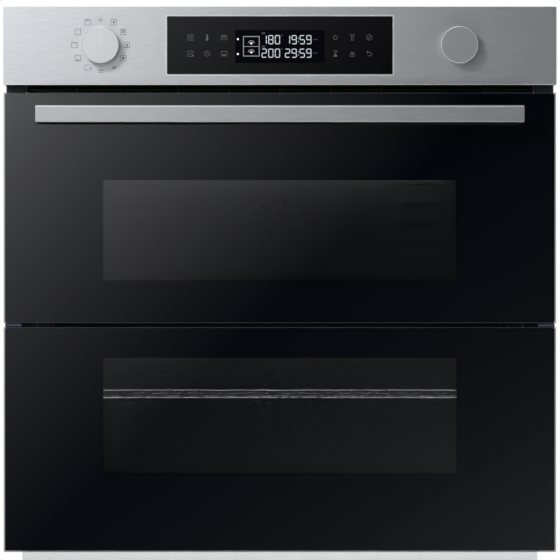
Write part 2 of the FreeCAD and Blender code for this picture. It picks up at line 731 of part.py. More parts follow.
def door_frame(z, opening_z, pack_z):
    """Folded sheet frame behind the outer glass, open at the back for the pane case."""
    front = Y_FACE + GLASS_T
    back = Y_DOOR_BACK
    outer_x = both(DOOR_HALF - 2)
    outer_z = grown(z, -1)
    shell = plate(outer_x, (front, back), outer_z, CORNER_R)
    hollow = block(grown(outer_x, -PROFILE), (front + SHEET, back - SHEET), grown(outer_z, -PROFILE))
    rear_opening = block(both(PACK_HALF), (front + SHEET, back + 1), pack_z)
    opening = block(both(DOOR_OPENING_HALF), (front - 1, front + SHEET + 1), opening_z)
    return shell.cut(hollow).cut(rear_opening).cut(opening)


def pane_case(pack_z):
    """Sheet collar in the door frame that carries the middle and inner panes."""
    front = Y_FACE + GLASS_T
    y = (front + 9, Y_INNER_GLASS - GLASS_T)
    inner_x = both(PACK_HALF - PROFILE)
    inner_z = grown(pack_z, -PROFILE)
    collar = block(both(PACK_HALF), y, pack_z).cut(block(inner_x, grown(y, 1), inner_z))
    ledge = block(inner_x, (front + 14.5, front + 16), inner_z)
    clear = block(both(PACK_HALF - 7), (front, y[1] + 1), grown(pack_z, -7))
    return collar.fuse(ledge.cut(clear)).removeSplitter()


def middle_glass(pack_z):
    front = Y_FACE + GLASS_T + 10.5
    gap = PROFILE + 0.3
    return block(both(PACK_HALF - gap), (front, front + GLASS_T), grown(pack_z, -gap))


def inner_glass(pack_z):
    return plate(both(PACK_HALF), (Y_INNER_GLASS - GLASS_T, Y_INNER_GLASS), pack_z, 3.0)


def stem_hole():
    """Room for the button's stem in the glass and the frame, hidden behind the middle post."""
    x = (STEM_X[0] - 1, STEM_X[1] + 1)
    z = (STEM_Z[0] - BUTTON_TRAVEL - 0.8, STEM_Z[1] + 0.8)
    return block(x, (Y_FACE - 1, Y_FACE + GLASS_T + SHEET + 1), z)


def upper_door_frame():
    frame = door_frame(UPPER_DOOR_Z, UPPER_OPENING, UPPER_PACK)
    low = UPPER_DOOR_Z[0]
    for x in both(RELEASE_X):
        frame = frame.cut(rod((x, Y_RELEASE, low - 1), (x, Y_RELEASE, low + 4), RELEASE_R + 0.6))
    return frame.cut(stem_hole())


def lower_door_frame():
    frame = door_frame(LOWER_DOOR_Z, LOWER_OPENING, LOWER_PACK)
    half = HINGE_T / 2 + 1
    for side in (-1, 1):
        x = side * RELEASE_X
        top = LOWER_DOOR_Z[1]
        frame = frame.cut(rod((x, Y_RELEASE, top - 4), (x, Y_RELEASE, top), RELEASE_R + 1.1))
        slot_x = (side * HINGE_X - half, side * HINGE_X + half)
        frame = frame.cut(block(slot_x, (Y_FACE + GLASS_T, Y_DOOR_BACK + 1), (LOWER_DOOR_Z[0], 17)))
    low_edge = block(both(FRONT_HALF), (Y_DOOR_BACK - 8, Y_DOOR_BACK + 1), (0, 5))
    return frame.cut(low_edge)


# ---------------------------------------------------------------- hinges


def hinge_receivers():
    """Fixed boxes behind the flange, each with a tongue that the lower door turns on."""
    pieces = []
    for side in (-1, 1):
        x = side * HINGE_X
        width = (x - HINGE_T / 2, x + HINGE_T / 2)
        tongue = block(width, (HINGE_AXIS[0], -225), (HINGE_AXIS[1] - 4.5, HINGE_AXIS[1] + 4.5))
        tip = shaft_x(width, *HINGE_AXIS, 4.5)
        housing = block((x - 7, x + 7), (Y_FLANGE + FLANGE_T, -140), (SHEET + 0.8, 46))
        housing = housing.cut(block((x - 5.5, x + 5.5), (-223, -139), (SHEET + 2.3, 44.5)))
        bore = shaft_x((x - 9, x + 9), *HINGE_AXIS, HINGE_PIN_R + PIN_PLAY)
        pieces.append(join([tongue, tip, housing]).cut(bore))
    return Part.Compound(pieces)


def door_hinges():
    """Cheeks inside the lower door, each pair with its pin."""
    pieces = []
    y = (Y_FACE + GLASS_T + SHEET, Y_DOOR_BACK - SHEET)
    z = (LOWER_DOOR_Z[0] + 1 + PROFILE, 70.0)
    for side in (-1, 1):
        x = side * HINGE_X
        gap = HINGE_T / 2 + 0.6
        cheeks = [block((x + a, x + b), y, z) for a, b in ((-gap - 3, -gap), (gap, gap + 3))]
        web = block((x - gap - 3, x + gap + 3), (y[0], y[0] + 2), (24, z[1]))
        axle = shaft_x((x - gap - 3, x + gap + 3), *HINGE_AXIS, HINGE_PIN_R)
        hinge = join(cheeks + [web, axle])
        low_edge = block(both(FRONT_HALF), (Y_DOOR_BACK - 8, Y_DOOR_BACK + 1), (0, 5))
        pieces.append(hinge.cut(low_edge))
    return Part.Compound(pieces)


def mid_hinge(upper):
    """One leaf of the hinge between the doors, at both ends; the lower leaf holds the pin."""
    pieces = []
    y0, z0 = MID_AXIS
    sign = 1 if upper else -1
    plate_z = sorted((z0 + sign * (KNUCKLE_R - LEAF_T + 0.2), z0 + sign * (KNUCKLE_R + 0.2)))
    foot_z = (plate_z[1], UPPER_DOOR_Z[0] + 1) if upper else (LOWER_DOOR_Z[1] - 1, plate_z[0])
    own = [KNUCKLES[1]] if upper else [KNUCKLES[0], KNUCKLES[2]]
    parts = [
        block((KNUCKLES[0][0], KNUCKLES[2][1] - 0.6), (y0 + KNUCKLE_R + 0.6, Y_DOOR_BACK - 1), plate_z),
        block((KNUCKLES[0][0], KNUCKLES[2][1] - 0.6), (y0 + 6, Y_DOOR_BACK - 2), foot_z),
    ]
    for low, high in own:
        parts.append(shaft_x((low, high), y0, z0, KNUCKLE_R))
        parts.append(block((low, high), (y0, y0 + KNUCKLE_R + 1), plate_z))
    leaf = join(parts)
    length = (KNUCKLES[0][0], KNUCKLES[2][1])
    if upper:
        leaf = leaf.cut(shaft_x(grown(length, 1), y0, z0, MID_PIN_R + PIN_PLAY))
    else:
        leaf = leaf.fuse(shaft_x(length, y0, z0, MID_PIN_R))
    for side in (1, -1):
        pieces.append(leaf if side == 1 else mirrored(leaf))
    return Part.Compound(pieces)


# ---------------------------------------------------------------- handle and release


def handle_bar():
    """Brushed bar: a channel that is open at the back, with closed ends."""
    bar = block(both(HANDLE_HALF), (Y_HANDLE, Y_BAR_BACK), HANDLE_Z)
    bar = round_edges(bar, vec(1, 0, 0), 0.6)
    wall = 2.0
    x = both(HANDLE_HALF - wall)
    channel = block(x, (Y_HANDLE + wall, Y_BAR_BACK - wall), grown(HANDLE_Z, -wall))
    mouth = block(x, (Y_BAR_BACK - 3, Y_BAR_BACK + 1), grown(POST_Z, -2))
    return bar.cut(channel).cut(mouth)


def handle_posts():
    posts = []
    for x in (END_POST_X, (-END_POST_X[1], -END_POST_X[0])):
        post = round_edges(block(x, (Y_BAR_BACK, Y_FACE), POST_Z), vec(0, 0, 1), 3)
        key = block(grown(x, -4), (Y_BAR_BACK - 3, Y_BAR_BACK), grown(POST_Z, -2.2))
        posts.append(join([post, key]))
    centre = block(BUTTON_X, (Y_BAR_BACK, Y_FACE), POST_Z)
    pocket_z = (POST_Z[0] + 1.5, POST_Z[1] + 1)
    pocket = block(grown(BUTTON_X, -2), (Y_BAR_BACK + 3, Y_FACE + 1), pocket_z)
    posts.append(centre.cut(pocket))
    return Part.Compound(posts)


def release_button():
    """Push button on the middle post; its stem goes into the door."""
    top_z = (POST_Z[1] + BUTTON_TRAVEL + 0.2, HANDLE_Z[1] + 1)
    top = block(BUTTON_X, (Y_BAR_BACK + 0.5, Y_FACE - 0.6), top_z)
    top = round_edges(top, vec(0, 1, 0), 0.4)
    skirt = block(grown(BUTTON_X, -2.5), (Y_BAR_BACK + 3.5, Y_FACE - 0.6), (STEM_Z[1], HANDLE_Z[1]))
    stem = block(STEM_X, (Y_BAR_BACK + 8, Y_RELEASE - RELEASE_R - 1), STEM_Z)
    return join([top, skirt, stem])


def release_rod():
    """Yoke in the upper door that carries the button's push down to the two plungers."""
    x, y = RELEASE_X, Y_RELEASE
    z = (STEM_Z[0] + STEM_Z[1]) / 2
    tip = GAP_Z + 0.3
    yoke = bent_rod([(-x, y, tip), (-x, y, z), (x, y, z), (x, y, tip)], RELEASE_R, 6)
    pad = block(STEM_X, (y - RELEASE_R - 1, y), STEM_Z)
    return join([yoke, pad])


def release_plungers():
    pins = []
    top = GAP_Z - 0.5
    for side in (-1, 1):
        x = side * RELEASE_X
        bolt = rod((x, Y_RELEASE, 205), (x, Y_RELEASE, top), RELEASE_R + 0.5)
        collar = rod((x, Y_RELEASE, 212), (x, Y_RELEASE, 215), 5)
        pins.append(join([bolt, collar]))
    return Part.Compound(pins)


def drilled(pane):
    """Holes in the upper glass for the handle's screws and the button's stem."""
    z = (POST_Z[0] + POST_Z[1]) / 2
    for x in (END_POST_X[0] + 8, END_POST_X[1] - 8):
        for centre in both(x):
            pane = pane.cut(pin(centre, (Y_FACE - 1, Y_FACE + GLASS_T + 1), z, 3))
    return pane.cut(stem_hole())


SIDE = cabinet_side()

NODES = {
    "cabinet_base": cabinet_base(),
    "cabinet_side_right": SIDE,
    "cabinet_side_left": mirrored(SIDE),
    "cabinet_back": cabinet_back(),
    "cabinet_top": cabinet_top(),
    "front_frame": front_frame(),
    "oven_cavity": oven_cavity(),
    "cavity_insulation": cavity_insulation(),
    "cavity_gasket": cavity_gasket(),
    "side_rack_right": side_rack(1),
    "side_rack_left": side_rack(-1),
    "divider": divider(),
    "divider_seal": divider_seal(),
    "wire_rack": wire_rack(),
    "baking_tray": baking_tray(),
    "grill_element": grill_element(),
    "bottom_element": bottom_element(),
    "ring_elements": ring_elements(),
    "upper_fan_cover": fan_cover(FAN_Z["upper"]),
    "lower_fan_cover": fan_cover(FAN_Z["lower"]),
    "upper_fan": fan(FAN_Z["upper"]),
    "lower_fan": fan(FAN_Z["lower"]),
    "fan_motors": Part.Compound([fan_motor(z) for z in FAN_Z.values()]),
    "oven_lamps": oven_lamps(),
    "temperature_sensors": temperature_sensors(),
    "air_channel": air_channel(),
    "air_outlet": air_outlet(),
    "blower_housing": blower_housing(),
    "blower_wheel": blower_wheel(),
    "blower_motor": blower_motor(),
    "terminal_block": terminal_block(),
    "main_board": main_board(),
    "control_panel": control_panel(),
    "panel_carrier": panel_carrier(),
    "display_glass": display_glass(),
    "display_bezel": display_bezel(),
    "display_board": display_board(),
    "knob_encoders": Part.Compound([encoder(x) for x in both(KNOB_X)]),
    "mode_knob": knob(-KNOB_X, True),
    "value_knob": knob(KNOB_X, False),
    "hinge_receivers": hinge_receivers(),
    "door_hinges": door_hinges(),
    "lower_outer_glass": outer_glass(LOWER_DOOR_Z),
    "lower_door_frame": lower_door_frame(),
    "lower_pane_case": pane_case(LOWER_PACK),
    "lower_middle_glass": middle_glass(LOWER_PACK),
    "lower_inner_glass": inner_glass(LOWER_PACK),
    "lower_mid_hinge": mid_hinge(False),
    "release_plungers": release_plungers(),
    "upper_outer_glass": drilled(outer_glass(UPPER_DOOR_Z)),
    "upper_door_frame": upper_door_frame(),
    "upper_pane_case": pane_case(UPPER_PACK),
    "upper_middle_glass": middle_glass(UPPER_PACK),
    "upper_inner_glass": inner_glass(UPPER_PACK),
    "upper_mid_hinge": mid_hinge(True),
    "handle_bar": handle_bar(),
    "handle_posts": handle_posts(),
    "release_button": release_button(),
    "release_rod": release_rod(),
}

for name, shape in NODES.items():
    shape.exportStep("parts/" + name + ".step")
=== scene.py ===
import json
import math

import bmesh
import bpy
from mathutils import Matrix, Vector
from mathutils.noise import noise as noise_value

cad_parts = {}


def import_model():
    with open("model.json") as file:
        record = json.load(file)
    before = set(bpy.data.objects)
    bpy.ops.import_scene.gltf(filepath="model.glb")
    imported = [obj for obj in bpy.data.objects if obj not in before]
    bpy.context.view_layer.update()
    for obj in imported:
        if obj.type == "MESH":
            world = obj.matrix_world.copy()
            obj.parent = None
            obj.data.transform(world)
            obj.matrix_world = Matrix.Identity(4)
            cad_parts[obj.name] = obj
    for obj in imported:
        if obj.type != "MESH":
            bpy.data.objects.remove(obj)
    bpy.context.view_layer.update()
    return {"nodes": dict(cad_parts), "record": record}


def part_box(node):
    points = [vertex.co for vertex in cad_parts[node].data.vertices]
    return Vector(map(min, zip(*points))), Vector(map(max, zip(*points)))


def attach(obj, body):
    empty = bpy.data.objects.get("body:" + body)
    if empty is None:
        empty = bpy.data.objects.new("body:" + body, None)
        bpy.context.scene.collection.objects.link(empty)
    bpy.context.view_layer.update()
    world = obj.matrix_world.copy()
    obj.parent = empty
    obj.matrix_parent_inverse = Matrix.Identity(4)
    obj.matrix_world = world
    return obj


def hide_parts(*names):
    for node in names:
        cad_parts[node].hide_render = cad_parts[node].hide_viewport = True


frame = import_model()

# Metres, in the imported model's frame: X right, Y to the back, Z up, fronts facing -Y.
MM = 0.001
NODES = frame["nodes"]

PANEL_LOW, PANEL_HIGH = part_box("control_panel")
UPPER_LOW, UPPER_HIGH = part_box("upper_outer_glass")
LOWER_LOW, LOWER_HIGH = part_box("lower_outer_glass")
DISPLAY_LOW, DISPLAY_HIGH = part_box("display_glass")
Y_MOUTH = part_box("oven_cavity")[0].y
WOOL_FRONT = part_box("cavity_insulation")[0].y
KNOB_LOW, KNOB_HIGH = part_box("mode_knob")
Y_FACE = UPPER_LOW.y

WINDOW_HALF = 190.2 * MM
UPPER_WINDOW = (292.7 * MM, 400.6 * MM)
LOWER_WINDOW = (85.0 * MM, 209.5 * MM)
PRINT = 0.05 * MM


# ---------------------------------------------------------------- materials


def new_material(name, colour, roughness, metallic=0.0, **sockets):
    mat = bpy.data.materials.new(name)
    mat.use_nodes = True
    shader = mat.node_tree.nodes["Principled BSDF"]
    shader.inputs["Base Color"].default_value = (*colour, 1.0)
    shader.inputs["Roughness"].default_value = roughness
    shader.inputs["Metallic"].default_value = metallic
    for key, value in sockets.items():
        shader.inputs[key.replace("_", " ")].default_value = value
    return mat


def noise(mat, stretch, scale, detail=3.0):
    """A noise over the object's own coordinates, squeezed by a scale along each axis."""
    tree = mat.node_tree
    coords = tree.nodes.new("ShaderNodeTexCoord")
    mapping = tree.nodes.new("ShaderNodeMapping")
    mapping.inputs["Scale"].default_value = stretch
    texture = tree.nodes.new("ShaderNodeTexNoise")
    texture.inputs["Scale"].default_value = scale
    texture.inputs["Detail"].default_value = detail
    tree.links.new(coords.outputs["Object"], mapping.inputs["Vector"])
    tree.links.new(mapping.outputs["Vector"], texture.inputs["Vector"])
    return texture.outputs["Fac"]


def ramp(mat, value, low, high, span=(0.3, 0.7)):
    """Maps a value to a colour between two colours."""
    node = mat.node_tree.nodes.new("ShaderNodeValToRGB")
    node.color_ramp.elements[0].position = span[0]
    node.color_ramp.elements[1].position = span[1]
    node.color_ramp.elements[0].color = (*low, 1.0)
    node.color_ramp.elements[1].color = (*high, 1.0)
    mat.node_tree.links.new(value, node.inputs["Fac"])
    return node.outputs["Color"]


def between(mat, value, low, high):
    node = mat.node_tree.nodes.new("ShaderNodeMapRange")
    node.inputs["From Min"].default_value = 0.3
    node.inputs["From Max"].default_value = 0.7
    node.inputs["To Min"].default_value = low
    node.inputs["To Max"].default_value = high
    mat.node_tree.links.new(value, node.inputs["Value"])
    return node.outputs["Result"]


def drive(mat, socket, output):
    mat.node_tree.links.new(output, mat.node_tree.nodes["Principled BSDF"].inputs[socket])


def bump(mat, value, strength, distance):
    node = mat.node_tree.nodes.new("ShaderNodeBump")
    node.inputs["Strength"].default_value = strength
    node.inputs["Distance"].default_value = distance
    mat.node_tree.links.new(value, node.inputs["Height"])
    drive(mat, "Normal", node.outputs["Normal"])


def brushed(name, colour, roughness):
    """Steel with short, fine, level scratches and a faint cloud over them."""
    mat = new_material(name, colour, roughness, 1.0)
    streaks = noise(mat, (22.0, 60.0, 240.0), 4.0, 5.0)
    darker = tuple(c * 0.90 for c in colour)
    lighter = tuple(min(1.0, c * 1.04) for c in colour)
    drive(mat, "Base Color", ramp(mat, streaks, darker, lighter, (0.25, 0.75)))
    drive(mat, "Roughness", between(mat, streaks, roughness * 0.94, roughness * 1.06))
    bump(mat, streaks, 0.10, 0.00003)
    return mat


def mottled(name, low, high, roughness, scale, metallic=0.0, relief=0.1, **sockets):
    """Paint, plastic or plate with a fine grain and a slight change of colour."""
    mat = new_material(name, high, roughness, metallic, **sockets)
    grain = noise(mat, (1.0, 1.0, 1.0), scale)
    drive(mat, "Base Color", ramp(mat, grain, low, high))
    drive(mat, "Roughness", between(mat, grain, roughness * 0.85, roughness * 1.15))
    if relief:
        bump(mat, grain, relief, 0.0001)
    return mat


def enamel(name):
    """Dark gloss enamel with fine pale specks."""
    mat = new_material(name, (0.02, 0.022, 0.028), 0.22, Coat_Weight=0.5, Coat_Roughness=0.08)
    specks = noise(mat, (1.0, 1.0, 1.0), 1400.0, 1.0)
    drive(mat, "Base Color", ramp(mat, specks, (0.016, 0.018, 0.024), (0.16, 0.17, 0.2), (0.62, 0.74)))
    bump(mat, noise(mat, (1.0, 1.0, 1.0), 60.0), 0.05, 0.0002)
    return mat


def galvanised(name):
    """Zinc-coated sheet with large faint crystals."""
    mat = new_material(name, (0.5, 0.52, 0.54), 0.42, 0.85)
    tree = mat.node_tree
    coords = tree.nodes.new("ShaderNodeTexCoord")
    crystals = tree.nodes.new("ShaderNodeTexVoronoi")
    crystals.inputs["Scale"].default_value = 110.0
    tree.links.new(coords.outputs["Object"], crystals.inputs["Vector"])
    grey = tree.nodes.new("ShaderNodeRGBToBW")
    tree.links.new(crystals.outputs["Color"], grey.inputs["Color"])
    drive(mat, "Base Color", ramp(mat, grey.outputs["Val"], (0.46, 0.48, 0.50), (0.52, 0.54, 0.56)))
    drive(mat, "Roughness", between(mat, grey.outputs["Val"], 0.40, 0.46))
    return mat


def glow(name, colour, strength):
    """A lit sign that has no colour of its own."""
    mat = new_material(name, (0.0, 0.0, 0.0), 0.5)
    shader = mat.node_tree.nodes["Principled BSDF"]
    shader.inputs["Emission Color"].default_value = (*colour, 1.0)
    shader.inputs["Emission Strength"].default_value = strength
    return mat


def clear_pane(name, colour, cover, bend):
    """Glass as a thin film: cover is the part of the light that each face stops, and bend is
    the index that sets how strongly it reflects."""
    mat = new_material(name, colour, 0.02, Alpha=cover, IOR=bend)
    haze = noise(mat, (1.0, 1.0, 1.0), 3.0)
    drive(mat, "Roughness", between(mat, haze, 0.012, 0.03))
    return mat


STEEL = brushed("steel_brushed", (0.448, 0.452, 0.470), 0.36)
# The handle bar's steel is a darker copy of the panel steel: painted shade on the bar.
STEEL_HANDLE_PAINTED_SHADE = brushed("steel_handle_painted_shade", (0.375, 0.379, 0.394), 0.38)
STEEL_KNOB = mottled(
    "steel_knob", (0.445, 0.45, 0.465), (0.460, 0.465, 0.480), 0.34, 1500.0, 1.0, 0.01
)
# Paler steel for thin strips that paint the highlights along the panel's and handle's edges.
STEEL_PAINTED_HIGHLIGHT = mottled("steel_painted_highlight", (0.60, 0.60, 0.62), (0.68, 0.68, 0.70), 0.4, 900.0, 0.55, 0.01)
# Pale, half-diffuse colour for the knobs' cut chamfers: a painted highlight round each knob face.
RIM_PAINTED_HIGHLIGHT = mottled("rim_painted_highlight", (0.80, 0.80, 0.81), (0.86, 0.86, 0.87), 0.4, 900.0, 0.35, 0.01)
# Paler colour for the chamfer round each outer pane: a painted highlight along its edges.
GLASS_EDGE_PAINTED_HIGHLIGHT = mottled(
    "glass_edge_painted_highlight", (0.022, 0.024, 0.034), (0.030, 0.033, 0.045), 0.35, 300.0, 0.0, 0.02
)
DISPLAY_GLASS = mottled(
    "display_black",
    (0.0003, 0.0003, 0.0009),
    (0.0005, 0.0005, 0.0013),
    0.04,
    200.0,
    relief=0.0,
    Specular_IOR_Level=0.20,
)
MATERIALS = {
    "stainless": STEEL,
    "bright_trim": mottled("trim_bright", (0.56, 0.56, 0.57), (0.62, 0.62, 0.63), 0.35, 40.0, 0.45, 0.02),
    "black_glass": clear_pane("glass_outer", (0.002, 0.002, 0.004), 0.26, 2.3),
    "clear_glass": clear_pane("glass_inner", (0.05, 0.055, 0.06), 0.08, 2.3),
    "galvanised": galvanised("zinc_sheet"),
    "black_paint": mottled("paint_black", (0.0085, 0.012, 0.028), (0.011, 0.015, 0.034), 0.5, 900.0),
    "enamel": enamel("enamel_dark"),
    "wool": mottled("wool", (0.5, 0.46, 0.36), (0.74, 0.70, 0.58), 0.95, 300.0, 0.0, 0.8),
    "seal_rubber": mottled("seal", (0.018, 0.018, 0.018), (0.035, 0.035, 0.035), 0.7, 500.0),
    "chromed_wire": mottled(
        "wire_chrome", (0.62, 0.62, 0.62), (0.74, 0.74, 0.74), 0.22, 60.0, 0.9, 0.02
    ),
    "heater_sheath": mottled("heater", (0.05, 0.045, 0.04), (0.16, 0.14, 0.12), 0.5, 90.0, 0.7),
    "fan_alloy": mottled("fan_metal", (0.055, 0.055, 0.06), (0.08, 0.08, 0.085), 0.5, 80.0, 0.6, 0.04),
    "motor_steel": mottled("motor_metal", (0.25, 0.25, 0.26), (0.4, 0.4, 0.41), 0.45, 120.0, 0.9),
    "lamp_glass": clear_pane("lamp_cover", (0.75, 0.72, 0.62), 0.55, 1.6),
    "black_plastic": mottled(
        "plastic_black", (0.006, 0.006, 0.007), (0.012, 0.012, 0.014), 0.55, 1200.0
    ),
    "hinge_steel": mottled("hinge_dark", (0.008, 0.012, 0.032), (0.012, 0.018, 0.042), 0.5, 400.0, 0.1),
    "board": mottled("board_green", (0.010, 0.07, 0.03), (0.02, 0.12, 0.05), 0.4, 200.0),
}
for subpart in frame["record"]["subparts"]:
    node = NODES[subpart["node"]]
    for slot in node.material_slots:
        slot.link = "OBJECT"
        slot.material = MATERIALS[subpart["material_slot"]]
OWN_FINISH = {
    "mode_knob": STEEL_KNOB,
    "value_knob": STEEL_KNOB,
    "handle_bar": STEEL_HANDLE_PAINTED_SHADE,
    "display_glass": DISPLAY_GLASS,
}
for name, mat in OWN_FINISH.items():
    NODES[name].material_slots[0].material = mat


def ink(name, low, high):
    """Flat ink that has no shine of its own."""
    return mottled(name, low, high, 0.7, 500.0, 0.0, 0.0, Specular_IOR_Level=0.0)


PRINT_BLACK = ink("print_black", (0.0014, 0.0017, 0.0040), (0.0020, 0.0024, 0.0055))
PRINT_BORDER = ink("print_border", (0.0001, 0.0001, 0.0002), (0.0002, 0.0002, 0.0004))
PRINT_CELL = ink("print_cell", (0.0024, 0.0024, 0.0042), (0.0030, 0.0030, 0.0052))
PRINT_GREY = ink("print_grey", (0.07, 0.07, 0.08), (0.10, 0.10, 0.11))
PRINT_WHITE = mottled("print_white", (0.72, 0.72, 0.72), (0.82, 0.82, 0.82), 0.5, 900.0)
ICON_DIM = glow("icon_dim", (0.75, 0.8, 0.88), 0.11)
CELL_GLOW = glow("cell_lit", (0.85, 0.88, 0.93), 0.36)
DIGIT_GLOW = glow("digit_lit", (0.90, 0.94, 1.0), 0.72)
DOT_GLOW = glow("dot_lit", (0.95, 0.97, 1.0), 1.1)


# ---------------------------------------------------------------- flat printed shapes


def place(mesh, name, mat, body):
    """Makes a piece of a mesh, gives it its material and lets it ride on a body."""
    piece = bpy.data.objects.new(name, mesh)
    bpy.context.scene.collection.objects.link(piece)
    mesh.materials.append(mat)
    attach(piece, body)
    return piece


def finished(made, name):
    """A mesh from a bmesh, which is freed."""
    mesh = bpy.data.meshes.new(name)
    made.to_mesh(mesh)
    made.free()
    return mesh


def face_front(made):
    """Turns every face that looks to the back."""
    for face in made.faces:
        if face.normal.y > 0:
            face.normal_flip()


def ring_faces(made, first, second):
    """Quads between two rings of vertices with the same count."""
    for i in range(len(first)):
        k = (i + 1) % len(first)
        made.faces.new((first[i], first[k], second[k], second[i]))


def printed(name, shapes, y, mat, body):
    """Flat polygons of (x, z) points, all at one y and facing the front."""
    made = bmesh.new()
    for points in shapes:
        corners = [made.verts.new((x, y, z)) for x, z in points]
        made.faces.new(corners)
    bmesh.ops.recalc_face_normals(made, faces=made.faces)
    face_front(made)
    return place(finished(made, name), name, mat, body)


def stroke(start, end, width):
    a, b = Vector(start), Vector(end)
    side = (b - a).normalized().orthogonal() * width / 2
    return [tuple(a + side), tuple(b + side), tuple(b - side), tuple(a - side)]


def arc(centre, radius, start, end, width, steps=16):
    """A bent band as small quads; angles in degrees."""
    shapes = []
    for i in range(steps):
        t0 = math.radians(start + (end - start) * i / steps)
        t1 = math.radians(start + (end - start) * (i + 1) / steps)
        inner, outer = radius - width / 2, radius + width / 2
        quad = []
        for t, r in ((t0, inner), (t0, outer), (t1, outer), (t1, inner)):
            quad.append((centre[0] + r * math.cos(t), centre[1] + r * math.sin(t)))
        shapes.append(quad)
    return shapes


def outline(x, z, width):
    """The four strokes of a rectangle."""
    shapes = []
    for height in z:
        shapes.append(stroke((x[0] - width / 2, height), (x[1] + width / 2, height), width))
    for across in x:
        shapes.append(stroke((across, z[0]), (across, z[1]), width))
    return shapes


def disc(centre, radius, steps=20):
    turns = [2 * math.pi * i / steps for i in range(steps)]
    return [(centre[0] + radius * math.cos(t), centre[1] + radius * math.sin(t)) for t in turns]


def rounded(x, z, radius, steps=6):
    """Points round a rectangle with rounded corners."""
    points = []
    corners = ((x[1], z[1], 0), (x[0], z[1], 90), (x[0], z[0], 180), (x[1], z[0], 270))
    for cx, cz, start in corners:
        mx = cx - radius if cx == x[1] else cx + radius
        mz = cz - radius if cz == z[1] else cz + radius
        for i in range(steps + 1):
            t = math.radians(start + 90 * i / steps)
            points.append((mx + radius * math.cos(t), mz + radius * math.sin(t)))
    return points


def plate_with_hole(outer, inner):
    """Quads between two loops with the same number of points."""
    count = len(outer)
    return [[outer[i], outer[(i + 1) % count], inner[(i + 1) % count], inner[i]] for i in range(count)]


# ---------------------------------------------------------------- doors


def band(name, outer, inner, y_outer, y_inner, mat, body):
    """A ring between two loops of (x, z) points that may lie at different depths."""
    made = bmesh.new()
    first = [made.verts.new((x, y_outer, z)) for x, z in outer]
    second = [made.verts.new((x, y_inner, z)) for x, z in inner]
    ring_faces(made, first, second)
    face_front(made)
    return place(finished(made, name), name, mat, body)


def inset(low, high, amount, radius):
    """A rounded outline, in from the edges of a box seen from the front."""
    return rounded((low.x + amount, high.x - amount), (low.z + amount, high.z - amount), radius)


def door_print(name, low, high, window_z, body):
    """Black print at the back of the outer pane, open at the window, where a blacker line runs."""
    back = high.y - 3 * PRINT
    window = ((-WINDOW_HALF, WINDOW_HALF), window_z)
    line = 1.2 * MM
    around = ((-WINDOW_HALF - line, WINDOW_HALF + line), (window_z[0] - line, window_z[1] + line))
    outer = inset(low, high, 1.0 * MM, 1 * MM)
    edge = rounded(*around, 1 * MM)
    printed(name + "_print", plate_with_hole(outer, edge), back, PRINT_BLACK, body)
    hole = rounded(*window, 1 * MM)
    printed(name + "_window_line", plate_with_hole(edge, hole), back, PRINT_BORDER, body)


def door_edge_painted_highlight(name, low, high, body):
    """The ground chamfer round the outer pane, painted paler than its face as a highlight along the pane's
    edges.
    """
    proud = 0.03 * MM
    chamfer = 0.6 * MM
    outer = inset(low, high, -proud, 1.0 * MM)
    inner = inset(low, high, chamfer, 0.6 * MM)
    band(name + "_edge", outer, inner, low.y + chamfer, low.y - proud, GLASS_EDGE_PAINTED_HIGHLIGHT, body)


def inner_print(name, node, window_z, body):
    """Black enamel border on the cavity side of the inner pane."""
    low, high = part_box(node)
    wider = 8 * MM
    across = (-WINDOW_HALF - wider, WINDOW_HALF + wider)
    hole = rounded(across, (window_z[0] - wider, window_z[1] + wider), 6 * MM)
    edge = inset(low, high, 0.5 * MM, 2 * MM)
    y = high.y + PRINT
    band(name, edge, hole, y, y, PRINT_BLACK, body)


door_print("upper_glass", UPPER_LOW, UPPER_HIGH, UPPER_WINDOW, "upper_door")
door_print("lower_glass", LOWER_LOW, LOWER_HIGH, LOWER_WINDOW, "lower_door")
door_edge_painted_highlight("upper_glass", UPPER_LOW, UPPER_HIGH, "upper_door")
door_edge_painted_highlight("lower_glass", LOWER_LOW, LOWER_HIGH, "lower_door")
inner_print("upper_inner_print", "upper_inner_glass", UPPER_WINDOW, "upper_door")
inner_print("lower_inner_print", "lower_inner_glass", LOWER_WINDOW, "lower_door")


# ---------------------------------------------------------------- display


DISPLAY_MID = (DISPLAY_LOW.z + DISPLAY_HIGH.z) / 2
Y_DISPLAY = DISPLAY_LOW.y - PRINT
SEGMENTS = {
    "0": "abcdef", "1": "bc", "2": "abged", "5": "afgcd", "8": "abcdefg", "9": "abcdfg",
}


def digit(value, x, z, size, bar):
    """One seven-segment digit, with its lower left corner at x, z."""
    wide, high = size
    mid = z + high / 2
    ends = {
        "a": ((x, z + high), (x + wide, z + high)),
        "b": ((x + wide, mid), (x + wide, z + high)),
        "c": ((x + wide, z), (x + wide, mid)),
        "d": ((x, z), (x + wide, z)),
        "e": ((x, z), (x, mid)),
        "f": ((x, mid), (x, z + high)),
        "g": ((x, mid), (x + wide, mid)),
    }
    shapes = []
    for segment in SEGMENTS[value]:
        start, end = (Vector(p) for p in ends[segment])
        trim = (end - start).normalized() * bar * 0.35
        shapes.append(stroke(start + trim, end - trim, bar))
    return shapes


# The foot of each row of digits, from the middle of the display.
ROW_LOW = {"upper": 1.6 * MM, "lower": -12.9 * MM}


